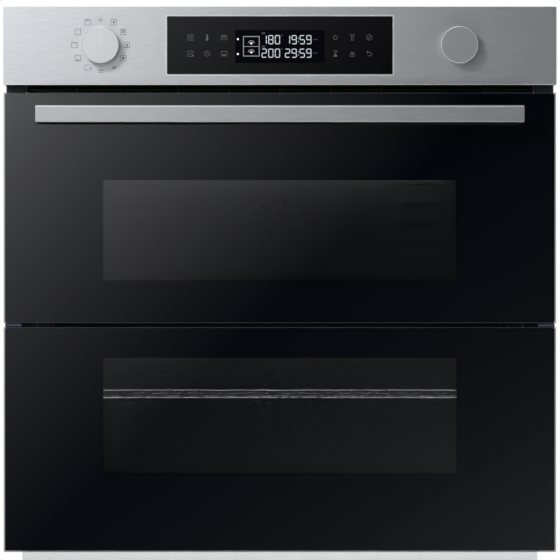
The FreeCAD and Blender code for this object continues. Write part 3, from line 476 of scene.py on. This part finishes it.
def display_digits():
    """Two rows, one for each zone: a temperature and a time."""
    size = (4.65 * MM, 8.8 * MM)
    bar = 0.85 * MM
    pitch = 7.15 * MM
    colon_room = 1.5 * MM
    left, middle = -19.2 * MM, 5.9 * MM
    shapes = []
    for row, text, time in (("upper", "180", "1959"), ("lower", "200", "2959")):
        z = DISPLAY_MID + ROW_LOW[row]
        for i, value in enumerate(text):
            shapes.extend(digit(value, left + i * pitch, z, size, bar))
        for i, value in enumerate(time):
            room = colon_room if i > 1 else 0.0
            shapes.extend(digit(value, middle + i * pitch + room, z, size, bar))
        for height in (0.28, 0.66):
            colon = (middle + 2 * pitch - 0.05 * MM, z + size[1] * height)
            shapes.append(disc(colon, 0.45 * MM, 10))
    printed("display_digits", shapes, Y_DISPLAY - PRINT, DIGIT_GLOW, "cabinet")


def display_extras():
    """The small dim marks by the digits, and the faint edge of the screen behind the glass."""
    shapes = []
    line = 0.3 * MM
    for low in ROW_LOW.values():
        z = DISPLAY_MID + low
        shapes.extend(arc((2.1 * MM, z + 9.0 * MM), 0.6 * MM, 0, 360, line, 10))
        shapes.append(stroke((35.6 * MM, z + 4.6 * MM), (38.0 * MM, z + 4.6 * MM), line))
        shapes.append(disc((39.2 * MM, z + 4.6 * MM), 0.6 * MM, 10))
        for column in range(3):
            for row in range(2):
                corner = (-18.9 * MM + column * 1.2 * MM, z + 10.8 * MM + row * 1.3 * MM)
                shapes.append(disc(corner, 0.45 * MM, 8))
    printed("display_extras", shapes, Y_DISPLAY - PRINT, ICON_DIM, "cabinet")
    screen_half = 48.1 * MM
    screen_z = (DISPLAY_MID - 19.0 * MM, DISPLAY_MID + 16.4 * MM)
    screen = rounded((-screen_half, screen_half), screen_z, 1 * MM)
    printed("display_screen", [screen], Y_DISPLAY, PRINT_CELL, "cabinet")


def zone_sign():
    """The split oven with a fan sign in each cell, and a dot for each zone that is on."""
    x = (-39.2 * MM, -22.2 * MM)
    heights = (DISPLAY_MID - 11.6 * MM, DISPLAY_MID - 1.3 * MM, DISPLAY_MID + 9.4 * MM)
    line = 0.75 * MM
    shapes = outline(x, (heights[0], heights[2]), line)
    shapes.append(stroke((x[0], heights[1]), (x[1], heights[1]), line * 0.7))
    centre = (x[0] + x[1]) / 2
    dots = []
    for z in (DISPLAY_MID + 1.6 * MM, DISPLAY_MID - 8.0 * MM):
        for radius in (1.9 * MM, 3.4 * MM):
            shapes.extend(arc((centre, z), radius, 12, 168, 0.55 * MM, 14))
        dots.append(disc((centre, z + 0.3 * MM), 1.0 * MM, 14))
    for z in (DISPLAY_MID + 6.6 * MM, DISPLAY_MID - 9.4 * MM):
        dots.append(disc((-45.2 * MM, z), 1.05 * MM, 14))
    printed("zone_sign", shapes, Y_DISPLAY - PRINT, CELL_GLOW, "cabinet")
    printed("zone_dots", dots, Y_DISPLAY - PRINT, DOT_GLOW, "cabinet")


KEY_LINE = 0.42 * MM
KEY_HALF = 2.9 * MM
KEY_UPPER = DISPLAY_MID + 8.4 * MM
KEY_LOWER = DISPLAY_MID - 9.0 * MM


def strokes(points, width):
    """A chain of straight strokes through the points."""
    return [stroke(a, b, width) for a, b in zip(points, points[1:])]


def menu_keys(x):
    """A list in a square, over a tick in a square."""
    shapes = outline((x - KEY_HALF, x + KEY_HALF), (KEY_UPPER - KEY_HALF, KEY_UPPER + KEY_HALF), KEY_LINE)
    reach = KEY_HALF * 0.6
    for k in (-1, 0, 1):
        z = KEY_UPPER + k * 1.5 * MM
        shapes.append(stroke((x - reach, z), (x + reach, z), KEY_LINE))
    shapes += outline((x - KEY_HALF, x + KEY_HALF), (KEY_LOWER - KEY_HALF, KEY_LOWER + KEY_HALF), KEY_LINE)
    shapes += tick(x, KEY_LOWER, -1.2 * MM)
    shapes.append(disc((x + 2.6 * MM, KEY_LOWER - 2.4 * MM), 0.9 * MM, 10))
    return shapes


def tick(x, z, foot):
    """A tick with its foot that far below z."""
    corner = (x - 0.3 * MM, z + foot)
    return strokes([(x + foot - 0.2 * MM, z), corner, (x + 1.6 * MM, z + 1.4 * MM)], KEY_LINE)


def heat_and_time_keys(x):
    """A thermometer over a clock."""
    shapes = [stroke((x, KEY_UPPER - 1.0 * MM), (x, KEY_UPPER + 3.2 * MM), 1.5 * MM)]
    shapes.append(disc((x, KEY_UPPER - 2.0 * MM), 1.5 * MM, 14))
    shapes += arc((x, KEY_LOWER), KEY_HALF, 0, 360, KEY_LINE)
    shapes.append(stroke((x, KEY_LOWER), (x, KEY_LOWER + 2.0 * MM), KEY_LINE))
    shapes.append(stroke((x, KEY_LOWER), (x + 1.4 * MM, KEY_LOWER - 1.0 * MM), KEY_LINE))
    return shapes


def zone_keys(x):
    """Two ovens, one with its upper cell marked and one with its lower."""
    shapes = []
    tall = KEY_HALF * 0.85
    reach = KEY_HALF * 0.55
    for z, cell in ((KEY_UPPER, 0.9 * MM), (KEY_LOWER, -1.3 * MM)):
        shapes += outline((x - KEY_HALF, x + KEY_HALF), (z - tall, z + tall), KEY_LINE)
        shapes.append(stroke((x - reach, z + cell), (x + reach, z + cell), 1.3 * MM))
    return shapes


def lamp_and_timer_keys(x):
    """A lamp over an hourglass."""
    left, top, right = (
        (x - 2.2 * MM, KEY_UPPER + 0.2 * MM),
        (x, KEY_UPPER + 2.6 * MM),
        (x + 2.2 * MM, KEY_UPPER + 0.2 * MM),
    )
    foot = KEY_UPPER - 2.0 * MM
    base = ((x - 1.4 * MM, foot), (x + 1.4 * MM, foot))
    shapes = strokes([left, top, right], KEY_LINE)
    shapes += [stroke(left, base[0], KEY_LINE), stroke(right, base[1], KEY_LINE)]
    shapes.append(stroke(*base, KEY_LINE))
    wide, slant = 2.1 * MM, 1.8 * MM
    for dz in (-KEY_HALF, KEY_HALF):
        z = KEY_LOWER + dz
        shapes.append(stroke((x - wide, z), (x + wide, z), KEY_LINE))
        shapes.append(stroke((x - slant, z), (x + slant, KEY_LOWER - dz), KEY_LINE))
    sand, foot = 1.6 * MM, KEY_LOWER - KEY_HALF
    shapes.append([(x - sand, foot), (x + sand, foot), (x, KEY_LOWER - 0.6 * MM)])
    return shapes


def tool_and_lock_keys(x):
    """A stemmed cup over a padlock."""
    rim = KEY_UPPER + 2.9 * MM
    shapes = [stroke((x - 3.0 * MM, rim), (x + 3.0 * MM, rim), KEY_LINE)]
    stem = (KEY_UPPER - 3.0 * MM, KEY_UPPER + 1.2 * MM)
    shapes += outline((x - 1.0 * MM, x + 1.0 * MM), stem, KEY_LINE)
    shackle = KEY_LOWER + 0.3 * MM
    shapes += outline((x - 2.2 * MM, x + 2.2 * MM), (KEY_LOWER - KEY_HALF, shackle), KEY_LINE)
    shapes += arc((x, shackle), 1.4 * MM, 0, 180, KEY_LINE)
    keyhole = ((x, KEY_LOWER - 1.9 * MM), (x, KEY_LOWER - 0.7 * MM))
    shapes.append(stroke(*keyhole, KEY_LINE * 1.6))
    return shapes


def accept_and_back_keys(x):
    """A ringed tick over an arrow that turns back."""
    shapes = arc((x, KEY_UPPER), KEY_HALF, 0, 360, KEY_LINE)
    shapes += tick(x, KEY_UPPER, -1.3 * MM)
    bend = x + 0.5 * MM
    upper, lower = KEY_LOWER + 1.6 * MM, KEY_LOWER - 2.4 * MM
    shapes += arc((bend, KEY_LOWER - 0.4 * MM), 2.0 * MM, -90, 90, KEY_LINE)
    shapes.append(stroke((x - 2.6 * MM, upper), (bend, upper), KEY_LINE))
    shapes.append(stroke((x - 2.0 * MM, lower), (bend, lower), KEY_LINE))
    for dz in (-1.3 * MM, 1.3 * MM):
        shapes.append(stroke((x - 2.8 * MM, upper), (x - 1.5 * MM, upper + dz), KEY_LINE))
    return shapes


def touch_marks():
    """The dim signs of the touch keys, in columns of two."""
    shapes = menu_keys(-96.2 * MM)
    shapes += heat_and_time_keys(-78.2 * MM)
    shapes += zone_keys(-60.0 * MM)
    shapes += lamp_and_timer_keys(59.8 * MM)
    shapes += tool_and_lock_keys(77.9 * MM)
    shapes += accept_and_back_keys(96.2 * MM)
    printed("touch_marks", shapes, Y_DISPLAY - PRINT, ICON_DIM, "cabinet")


display_digits()
display_extras()
zone_sign()
touch_marks()


# ---------------------------------------------------------------- knobs and their marks

KNOB_MID = ((KNOB_LOW.x + KNOB_HIGH.x) / 2, (KNOB_LOW.z + KNOB_HIGH.z) / 2)
KNOB_R = (KNOB_HIGH.x - KNOB_LOW.x) / 2
MARK_MID = (KNOB_MID[0] - 0.3 * MM, KNOB_MID[1] + 0.6 * MM)
MARK_RADIUS = 28.2 * MM
MARK_HALF = 2.9 * MM
# What each cooking mark shows, clockwise from the one after the ring at the top.
MARKS = (
    "frame fan",
    "frame fan top",
    "frame fan bottom",
    "frame fan",
    "heat",
    "two lines",
    "open arrow",
    "frame bottom",
    "frame dots",
    "frame",
    "frame top",
)


def mark_parts(what, x, z, line):
    """The strokes of one cooking mark round x, z."""
    half = MARK_HALF
    inner = half * 0.55
    shapes = []
    if "frame" in what:
        shapes.extend(outline((x - half, x + half), (z - half, z + half), line))
    if "fan" in what:
        for turn in (45, 135, 225, 315):
            t = math.radians(turn)
            tip = (x + 1.5 * MM * math.cos(t), z + 1.5 * MM * math.sin(t))
            shapes.append(stroke((x, z), tip, 0.8 * MM))
    if "top" in what:
        shapes.append(stroke((x - inner, z + half * 0.7), (x + inner, z + half * 0.7), line * 1.6))
    if "bottom" in what:
        shapes.append(stroke((x - inner, z - half * 0.7), (x + inner, z - half * 0.7), line * 1.6))
    if "dots" in what:
        for dx in (-inner, 0.0, inner):
            shapes.append(disc((x + dx, z + half * 0.68), 0.35 * MM, 8))
    if "heat" in what:
        for dx in (-1.4 * MM, 0.0, 1.4 * MM):
            foot = (x + dx, z - half * 0.6)
            tip = (x + dx + 0.8 * MM, z + half * 0.6)
            shapes.append(stroke(foot, tip, line * 1.4))
    if "two lines" in what:
        shapes.append(stroke((x - half, z + 1.0 * MM), (x + half, z + 1.0 * MM), line * 1.6))
        for dx in (-1.9 * MM, 0.0, 1.9 * MM):
            dash = (x + dx - 0.6 * MM, x + dx + 0.6 * MM)
            shapes.append(stroke((dash[0], z - 1.2 * MM), (dash[1], z - 1.2 * MM), line * 1.6))
    if "open arrow" in what:
        for height in (-half, half):
            shapes.append(stroke((x - half, z + height), (x + half * 0.6, z + height), line))
        shapes.append(stroke((x - half, z - half), (x - half, z + half), line))
        for turn in (0, 60, 120):
            t = math.radians(turn)
            reach = Vector((1.2 * MM * math.cos(t), 1.2 * MM * math.sin(t)))
            middle = Vector((x + half * 1.2, z - half * 0.2))
            shapes.append(stroke(middle - reach, middle + reach, line))
    return shapes


def mode_marks():
    """A ring at the top for off, and the cooking marks round the rest of the knob."""
    line = 0.42 * MM
    top = (MARK_MID[0], MARK_MID[1] + MARK_RADIUS - 1.3 * MM)
    shapes = arc(top, 1.35 * MM, 0, 360, line * 1.2)
    for i, what in enumerate(MARKS):
        t = math.radians(90 - 30 * (i + 1))
        x = MARK_MID[0] + MARK_RADIUS * math.cos(t)
        z = MARK_MID[1] + MARK_RADIUS * math.sin(t)
        shapes.extend(mark_parts(what, x, z, line))
    printed("mode_marks", shapes, Y_FACE - PRINT, PRINT_GREY, "cabinet")


def knob_line():
    """Pale fill in the milled line of the mode knob."""
    half = 0.36 * MM
    low, high = KNOB_MID[1] - 0.9 * MM, KNOB_MID[1] + KNOB_R - 0.75 * MM
    shape = [(KNOB_MID[0] - half, low), (KNOB_MID[0] + half, low)]
    shape += [(KNOB_MID[0] + half, high), (KNOB_MID[0] - half, high)]
    printed("mode_knob_line", [shape], KNOB_LOW.y + 0.1 * MM, PRINT_WHITE, "mode_knob")


def knob_rim(name, node):
    """The cut chamfer round a knob's face; its pale, half-diffuse colour is a painted highlight all the
    way round.
    """
    low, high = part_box(node)
    proud = 0.04 * MM
    chamfer = 0.7 * MM
    centre = ((low.x + high.x) / 2, (low.z + high.z) / 2)
    outer = disc(centre, (high.x - low.x) / 2 + proud, 96)
    inner = disc(centre, (high.x - low.x) / 2 - chamfer, 96)
    band(name, outer, inner, low.y + chamfer, low.y - proud, RIM_PAINTED_HIGHLIGHT, node)


def painted_highlight_strip(name, x, z, y, body):
    """A pale flat strip on the face: a painted highlight along a steel edge."""
    strip = [(x[0], z[0]), (x[1], z[0]), (x[1], z[1]), (x[0], z[1])]
    printed(name, [strip], y - PRINT, STEEL_PAINTED_HIGHLIGHT, body)


def painted_edge_highlights():
    """Painted highlights along the lower edge of the panel and the upper edge of the handle bar."""
    half = (PANEL_HIGH.x - PANEL_LOW.x) / 2 - 0.3 * MM
    low = PANEL_LOW.z + 0.1 * MM
    painted_highlight_strip("panel_edge", (-half, half), (low, low + 0.8 * MM), Y_FACE, "cabinet")
    bar_low, bar_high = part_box("handle_bar")
    top = bar_high.z - 0.9 * MM
    across = (bar_low.x + 0.6 * MM, bar_high.x - 0.6 * MM)
    painted_highlight_strip("handle_edge", across, (top - 0.8 * MM, top), bar_low.y, "upper_door")


mode_marks()
knob_line()
knob_rim("mode_knob_rim", "mode_knob")
knob_rim("value_knob_rim", "value_knob")
painted_edge_highlights()


# ---------------------------------------------------------------- soft pieces


WOOL_SEAM_PITCH = 120 * MM
WOOL_SEAM_WIDTH = 9 * MM
WOOL_SEAM_DEPTH = 2.2 * MM
WOOL_LUMP_DEPTH = 1.2 * MM
WOOL_FIBRE_DEPTH = 0.5 * MM


def softened(node):
    """A copy of a CAD node's mesh, remeshed finely so that its edges are round."""
    wrap = bpy.data.objects.new("wool_wrap", node.data.copy())
    bpy.context.scene.collection.objects.link(wrap)
    wrap.matrix_world = node.matrix_world.copy()
    remesh = wrap.modifiers.new("remesh", "REMESH")
    remesh.mode = "VOXEL"
    remesh.voxel_size = 6 * MM
    wrap.modifiers.new("soften", "SMOOTH").iterations = 3
    bpy.context.view_layer.update()
    seen = wrap.evaluated_get(bpy.context.evaluated_depsgraph_get())
    mesh = bpy.data.meshes.new_from_object(seen)
    mesh.transform(node.matrix_world)
    mesh.materials.clear()
    mesh.update()
    bpy.data.objects.remove(wrap)
    return mesh


def wool_dent(at):
    """How far the wool's surface lies in at a point: lumps, fibres and pressed seams."""
    lump = 0.5 + 0.5 * noise_value(at * 38.0)
    fibre = 0.5 + 0.5 * noise_value(at * 240.0)
    from_seam = (at.y - WOOL_FRONT) % WOOL_SEAM_PITCH - WOOL_SEAM_PITCH / 2
    seam = math.exp(-((from_seam / WOOL_SEAM_WIDTH) ** 2))
    return WOOL_LUMP_DEPTH * lump + WOOL_FIBRE_DEPTH * fibre + WOOL_SEAM_DEPTH * seam


def glass_wool():
    """The wool wrap round the cavity."""
    mesh = softened(NODES["cavity_insulation"])
    normals = [vertex.normal.copy() for vertex in mesh.vertices]
    for vertex, normal in zip(mesh.vertices, normals):
        vertex.co = vertex.co - normal * wool_dent(vertex.co)
    mesh.shade_smooth()
    made = place(mesh, "glass_wool", MATERIALS["wool"], "cabinet")
    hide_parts("cavity_insulation")


BULB_WIDE = 8 * MM
BULB_CORNER = 14 * MM
# A bulb on a foot, seen in section: how far in from the outer edge, and how far back.
BULB = (
    (0.00, 1.00),
    (0.03, 0.78),
    (0.16, 0.66),
    (0.09, 0.42),
    (0.20, 0.14),
    (0.38, 0.01),
    (0.62, 0.01),
    (0.80, 0.14),
    (0.91, 0.42),
    (0.84, 0.66),
    (0.97, 0.78),
    (1.00, 1.00),
)


def skinned(name, loops, mat, body, closed=True):
    """A smooth skin over loops of points with the same count; closed joins the last to the first."""
    made = bmesh.new()
    rows = [[made.verts.new(p) for p in loop] for loop in loops]
    pairs = list(zip(rows, rows[1:]))
    if closed:
        pairs.append((rows[-1], rows[0]))
    for first, second in pairs:
        ring_faces(made, first, second)
    if not closed:
        made.faces.new(rows[0])
        made.faces.new(rows[-1])
    bmesh.ops.recalc_face_normals(made, faces=made.faces)
    mesh = finished(made, name)
    mesh.shade_smooth()
    return place(mesh, name, mat, body)


def bulb_seal():
    """The rubber bulb round the mouth of the cavity."""
    low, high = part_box("cavity_gasket")
    loops = []
    for across, back in BULB:
        y = low.y + (high.y - low.y) * back
        inward = across * BULB_WIDE
        ring = inset(low, high, inward, BULB_CORNER - inward * 0.75)
        loops.append([(x, y, z) for x, z in ring])
    made = skinned("cavity_bulb_seal", loops, MATERIALS["seal_rubber"], "cabinet")
    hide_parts("cavity_gasket")


def lip_seal():
    """The ribbed rubber lip along the front of the divider."""
    low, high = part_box("divider_seal")
    mid = (low.z + high.z) / 2
    half = (high.z - low.z) / 2
    deep = high.y - low.y
    section = []
    for step in range(13):
        z = half * (1 - 2 * step / 12)
        bulge = math.sqrt(max(0.0, 1 - (z / half) ** 2))
        rib = 0.06 * (step % 2)
        section.append((low.y + deep * (0.45 - 0.45 * bulge + rib * (0.2 + bulge)), mid + z))
    foot = high.y - 4 * MM
    tongue = half - 2.2 * MM
    section += [(foot, mid - half), (foot, mid - tongue)]
    section += [(high.y, mid - tongue), (high.y, mid + tongue)]
    section += [(foot, mid + tongue), (foot, mid + half)]
    ends = [(low.x, 0.93), (low.x + 3 * MM, 1.0), (high.x - 3 * MM, 1.0), (high.x, 0.93)]
    loops = []
    for x, scale in ends:
        loops.append([(x, high.y + (y - high.y) * scale, mid + (z - mid) * scale) for y, z in section])
    made = skinned("divider_lip_seal", loops, MATERIALS["seal_rubber"], "cabinet", False)
    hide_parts("divider_seal")


glass_wool()
bulb_seal()
lip_seal()


# ---------------------------------------------------------------- screws

SCREW_STEEL = mottled("screw_zinc", (0.52, 0.52, 0.53), (0.62, 0.62, 0.63), 0.3, 300.0, 0.9, 0.02)
# A pan head in section: share of the radius, and height in millimetres.
HEAD = ((1.0, 0.0), (1.0, 0.7), (0.86, 1.3), (0.55, 1.6), (0.42, 1.6), (0.30, 0.7), (0.04, 0.5))


def screws(name, points, normal, radius=3.6 * MM):
    """Pan-head screws with a cross recess, standing on a flat sheet whose face looks along normal."""
    made = bmesh.new()
    turn = Vector((0, 0, 1)).rotation_difference(Vector(normal)).to_matrix()
    steps = 24
    for point in points:
        rings = []
        for share, height in HEAD:
            ring = []
            for i in range(steps):
                t = 2 * math.pi * i / steps
                reach = radius * share
                if share < 0.5:
                    reach *= 0.35 + 0.65 * abs(math.cos(2 * t))
                flat = Vector((reach * math.cos(t), reach * math.sin(t), height * MM))
                ring.append(made.verts.new(Vector(point) + turn @ flat))
            rings.append(ring)
        for first, second in zip(rings, rings[1:]):
            ring_faces(made, first, second)
        made.faces.new(rings[-1])
        made.faces.new(list(reversed(rings[0])))
    bmesh.ops.recalc_face_normals(made, faces=made.faces)
    return place(finished(made, name), name, SCREW_STEEL, "cabinet")


def between_ends(ends, share):
    return ends[0] + (ends[1] - ends[0]) * share


def cabinet_screws():
    """Screws along the edges of the rear, side and top sheets."""
    back_low, back_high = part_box("cabinet_back")
    side_low, side_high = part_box("cabinet_side_right")
    top_low, top_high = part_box("cabinet_top")
    edge = 9 * MM
    rear = []
    for x in (back_low.x + edge, back_high.x - edge):
        for share in (0.04, 0.35, 0.66, 0.93):
            rear.append((x, back_high.y, between_ends((back_low.z, back_high.z), share)))
    for share in (0.25, 0.5):
        for z in (back_low.z + edge, back_high.z - edge):
            rear.append((between_ends((back_low.x, back_high.x), share), back_high.y, z))
    screws("rear_screws", rear, (0, 1, 0))
    for name, x, way in (("right", side_high.x, 1), ("left", -side_high.x, -1)):
        points = []
        for z in (side_low.z + edge, side_high.z - edge):
            for share in (0.06, 0.5, 0.95):
                points.append((x, between_ends((side_low.y, side_high.y), share), z))
        screws(name + "_side_screws", points, (way, 0, 0))
    above = []
    for x in (top_low.x + edge, top_high.x - edge):
        for share in (0.06, 0.5, 0.95):
            above.append((x, between_ends((top_low.y, top_high.y), share), top_high.z))
    screws("top_screws", above, (0, 0, 1))


cabinet_screws()


# ---------------------------------------------------------------- stage, light and camera

FRAME_ACROSS = 602.3 * MM
CAMERA_AWAY = 5.0
CAMERA_HEIGHT = 293.1 * MM
FLOOR_Z = -0.28
CARD_AWAY = 1.6
CARD_LIMIT = 2.2


def camera():
    """Level and square to the front, at the photograph's viewing angle."""
    data = bpy.data.cameras.new("camera")
    data.lens = data.sensor_width * CAMERA_AWAY / FRAME_ACROSS
    data.clip_end = 50.0
    made = bpy.data.objects.new("camera", data)
    made.location = (0.14 * MM, Y_FACE - CAMERA_AWAY, CAMERA_HEIGHT)
    made.rotation_euler = (math.pi / 2, 0.0, 0.0)
    bpy.context.scene.collection.objects.link(made)
    bpy.context.scene.camera = made


def area(name, place_at, aim, size, power):
    """A flat white lamp of size (across, down) that looks at aim."""
    data = bpy.data.lights.new(name, "AREA")
    data.shape = "RECTANGLE"
    data.size, data.size_y = size
    data.energy = power
    made = bpy.data.objects.new(name, data)
    made.location = place_at
    made.rotation_euler = (Vector(aim) - Vector(place_at)).to_track_quat("-Z", "Y").to_euler()
    bpy.context.scene.collection.objects.link(made)


def zone_light(name, height, power):
    """A dim strip behind the top of one window, which lights the front of what stands inside."""
    start = (0.0, Y_MOUTH + 6 * MM, height)
    aim = (0.0, Y_MOUTH + 60 * MM, height - 50 * MM)
    area(name, start, aim, (0.42, 0.006), power)
    bpy.data.objects[name].visible_camera = False


def world():
    """White behind the object, and a dim room everywhere else."""
    made = bpy.data.worlds.new("studio")
    bpy.context.scene.world = made
    made.use_nodes = True
    tree = made.node_tree
    room = tree.nodes["Background"]
    room.inputs["Color"].default_value = (0.9, 0.95, 1.0, 1.0)
    room.inputs["Strength"].default_value = 0.12
    white = tree.nodes.new("ShaderNodeBackground")
    white.inputs["Color"].default_value = (1.0, 1.0, 1.0, 1.0)
    white.inputs["Strength"].default_value = 1.0
    path = tree.nodes.new("ShaderNodeLightPath")
    mix = tree.nodes.new("ShaderNodeMixShader")
    tree.links.new(path.outputs["Is Camera Ray"], mix.inputs["Fac"])
    tree.links.new(room.outputs["Background"], mix.inputs[1])
    tree.links.new(white.outputs["Background"], mix.inputs[2])
    tree.links.new(mix.outputs["Shader"], tree.nodes["World Output"].inputs["Surface"])


def flat_stage(name, low, high, mat):
    """A box from corner low to corner high that isn't part of the oven."""
    mesh = bpy.data.meshes.new(name)
    made = bmesh.new()
    bmesh.ops.create_cube(made, size=1.0)
    size = Vector(high) - Vector(low)
    bmesh.ops.transform(made, matrix=Matrix.Diagonal((*size, 1.0)), verts=made.verts)
    bmesh.ops.translate(made, vec=(Vector(high) + Vector(low)) / 2, verts=made.verts)
    made.to_mesh(mesh)
    made.free()
    mesh.materials.append(mat)
    piece = bpy.data.objects.new(name, mesh)
    bpy.context.scene.collection.objects.link(piece)
    return piece


def lobe(tree, split, peak, centre, reach, cut):
    """Light that falls off from one corner of the card: peak, (x, z) of the corner, the signed
    reach each way, and how much is cut off so that it ends in black."""

    def math_node(operation, *values):
        node = tree.nodes.new("ShaderNodeMath")
        node.operation = operation
        for i, value in enumerate(values):
            if isinstance(value, float):
                node.inputs[i].default_value = value
            else:
                tree.links.new(value, node.inputs[i])
        return node.outputs[0]

    along_x = math_node("DIVIDE", math_node("SUBTRACT", split.outputs["X"], centre[0]), reach[0])
    along_z = math_node("DIVIDE", math_node("SUBTRACT", split.outputs["Z"], centre[1]), reach[1])
    fall = math_node("EXPONENT", math_node("MULTIPLY", math_node("ADD", along_x, along_z), -1.0))
    bright = math_node("MAXIMUM", math_node("SUBTRACT", math_node("MULTIPLY", fall, peak), cut), 0.0)
    return math_node("MINIMUM", bright, CARD_LIMIT)


def reflection_card():
    """A soft gradient in front of the oven, seen only in its glass and steel: bright at the
    upper left, dim along the other diagonal, and faintly lit at the lower right."""
    mat = bpy.data.materials.new("card_gradient")
    mat.use_nodes = True
    tree = mat.node_tree
    tree.nodes.clear()
    coords = tree.nodes.new("ShaderNodeTexCoord")
    split = tree.nodes.new("ShaderNodeSeparateXYZ")
    tree.links.new(coords.outputs["Object"], split.inputs["Vector"])
    total = tree.nodes.new("ShaderNodeMath")
    tree.links.new(lobe(tree, split, 2.12, (-0.40, 0.50), (0.30, -0.30), 0.25), total.inputs[0])
    tree.links.new(lobe(tree, split, 0.36, (0.38, -0.08), (-0.38, 0.25), 0.01), total.inputs[1])
    light = tree.nodes.new("ShaderNodeEmission")
    light.inputs["Color"].default_value = (0.97, 0.98, 1.0, 1.0)
    output = tree.nodes.new("ShaderNodeOutputMaterial")
    tree.links.new(total.outputs[0], light.inputs["Strength"])
    tree.links.new(light.outputs["Emission"], output.inputs["Surface"])
    y = Y_FACE - CARD_AWAY
    card = flat_stage("reflection_card", (-0.55, y - 0.002, -0.25), (0.55, y, 0.9), mat)
    card.visible_camera = False
    card.visible_shadow = False
    card.visible_diffuse = False


FLOOR_WHITE = mottled("floor_white", (0.86, 0.86, 0.86), (0.9, 0.9, 0.9), 0.6, 3.0, 0.0, 0.0)
flat_stage("floor", (-6.0, -4.0, FLOOR_Z - 0.01), (6.0, 3.9, FLOOR_Z), FLOOR_WHITE)
base_low, base_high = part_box("cabinet_base")
plinth_front = (base_low.x, base_low.y + 0.01, FLOOR_Z)
plinth_back = (base_high.x, base_high.y, -0.001)
flat_stage("plinth", plinth_front, plinth_back, FLOOR_WHITE)
reflection_card()
world()
area("key", (-0.9, Y_FACE - 2.0, 1.35), (0.0, Y_FACE, 0.45), (0.45, 0.45), 25.0)
area("top", (-0.3, -0.3, 2.4), (0.0, 0.0, 0.3), (1.8, 1.2), 10.0)
area("fill", (2.2, -1.4, 0.9), (0.0, 0.0, 0.3), (1.2, 1.6), 6.0)
zone_light("lower_zone_light", 0.225, 0.09)
zone_light("upper_zone_light", 0.425, 0.09)
area("back", (0.6, 2.4, 1.7), (0.0, 0.2, 0.3), (1.8, 1.4), 40.0)
area("low", (0.0, -1.3, -0.22), (0.0, Y_FACE, -0.02), (1.2, 0.1), 5.0)
camera()
bpy.context.scene.view_settings.view_transform = "Standard"
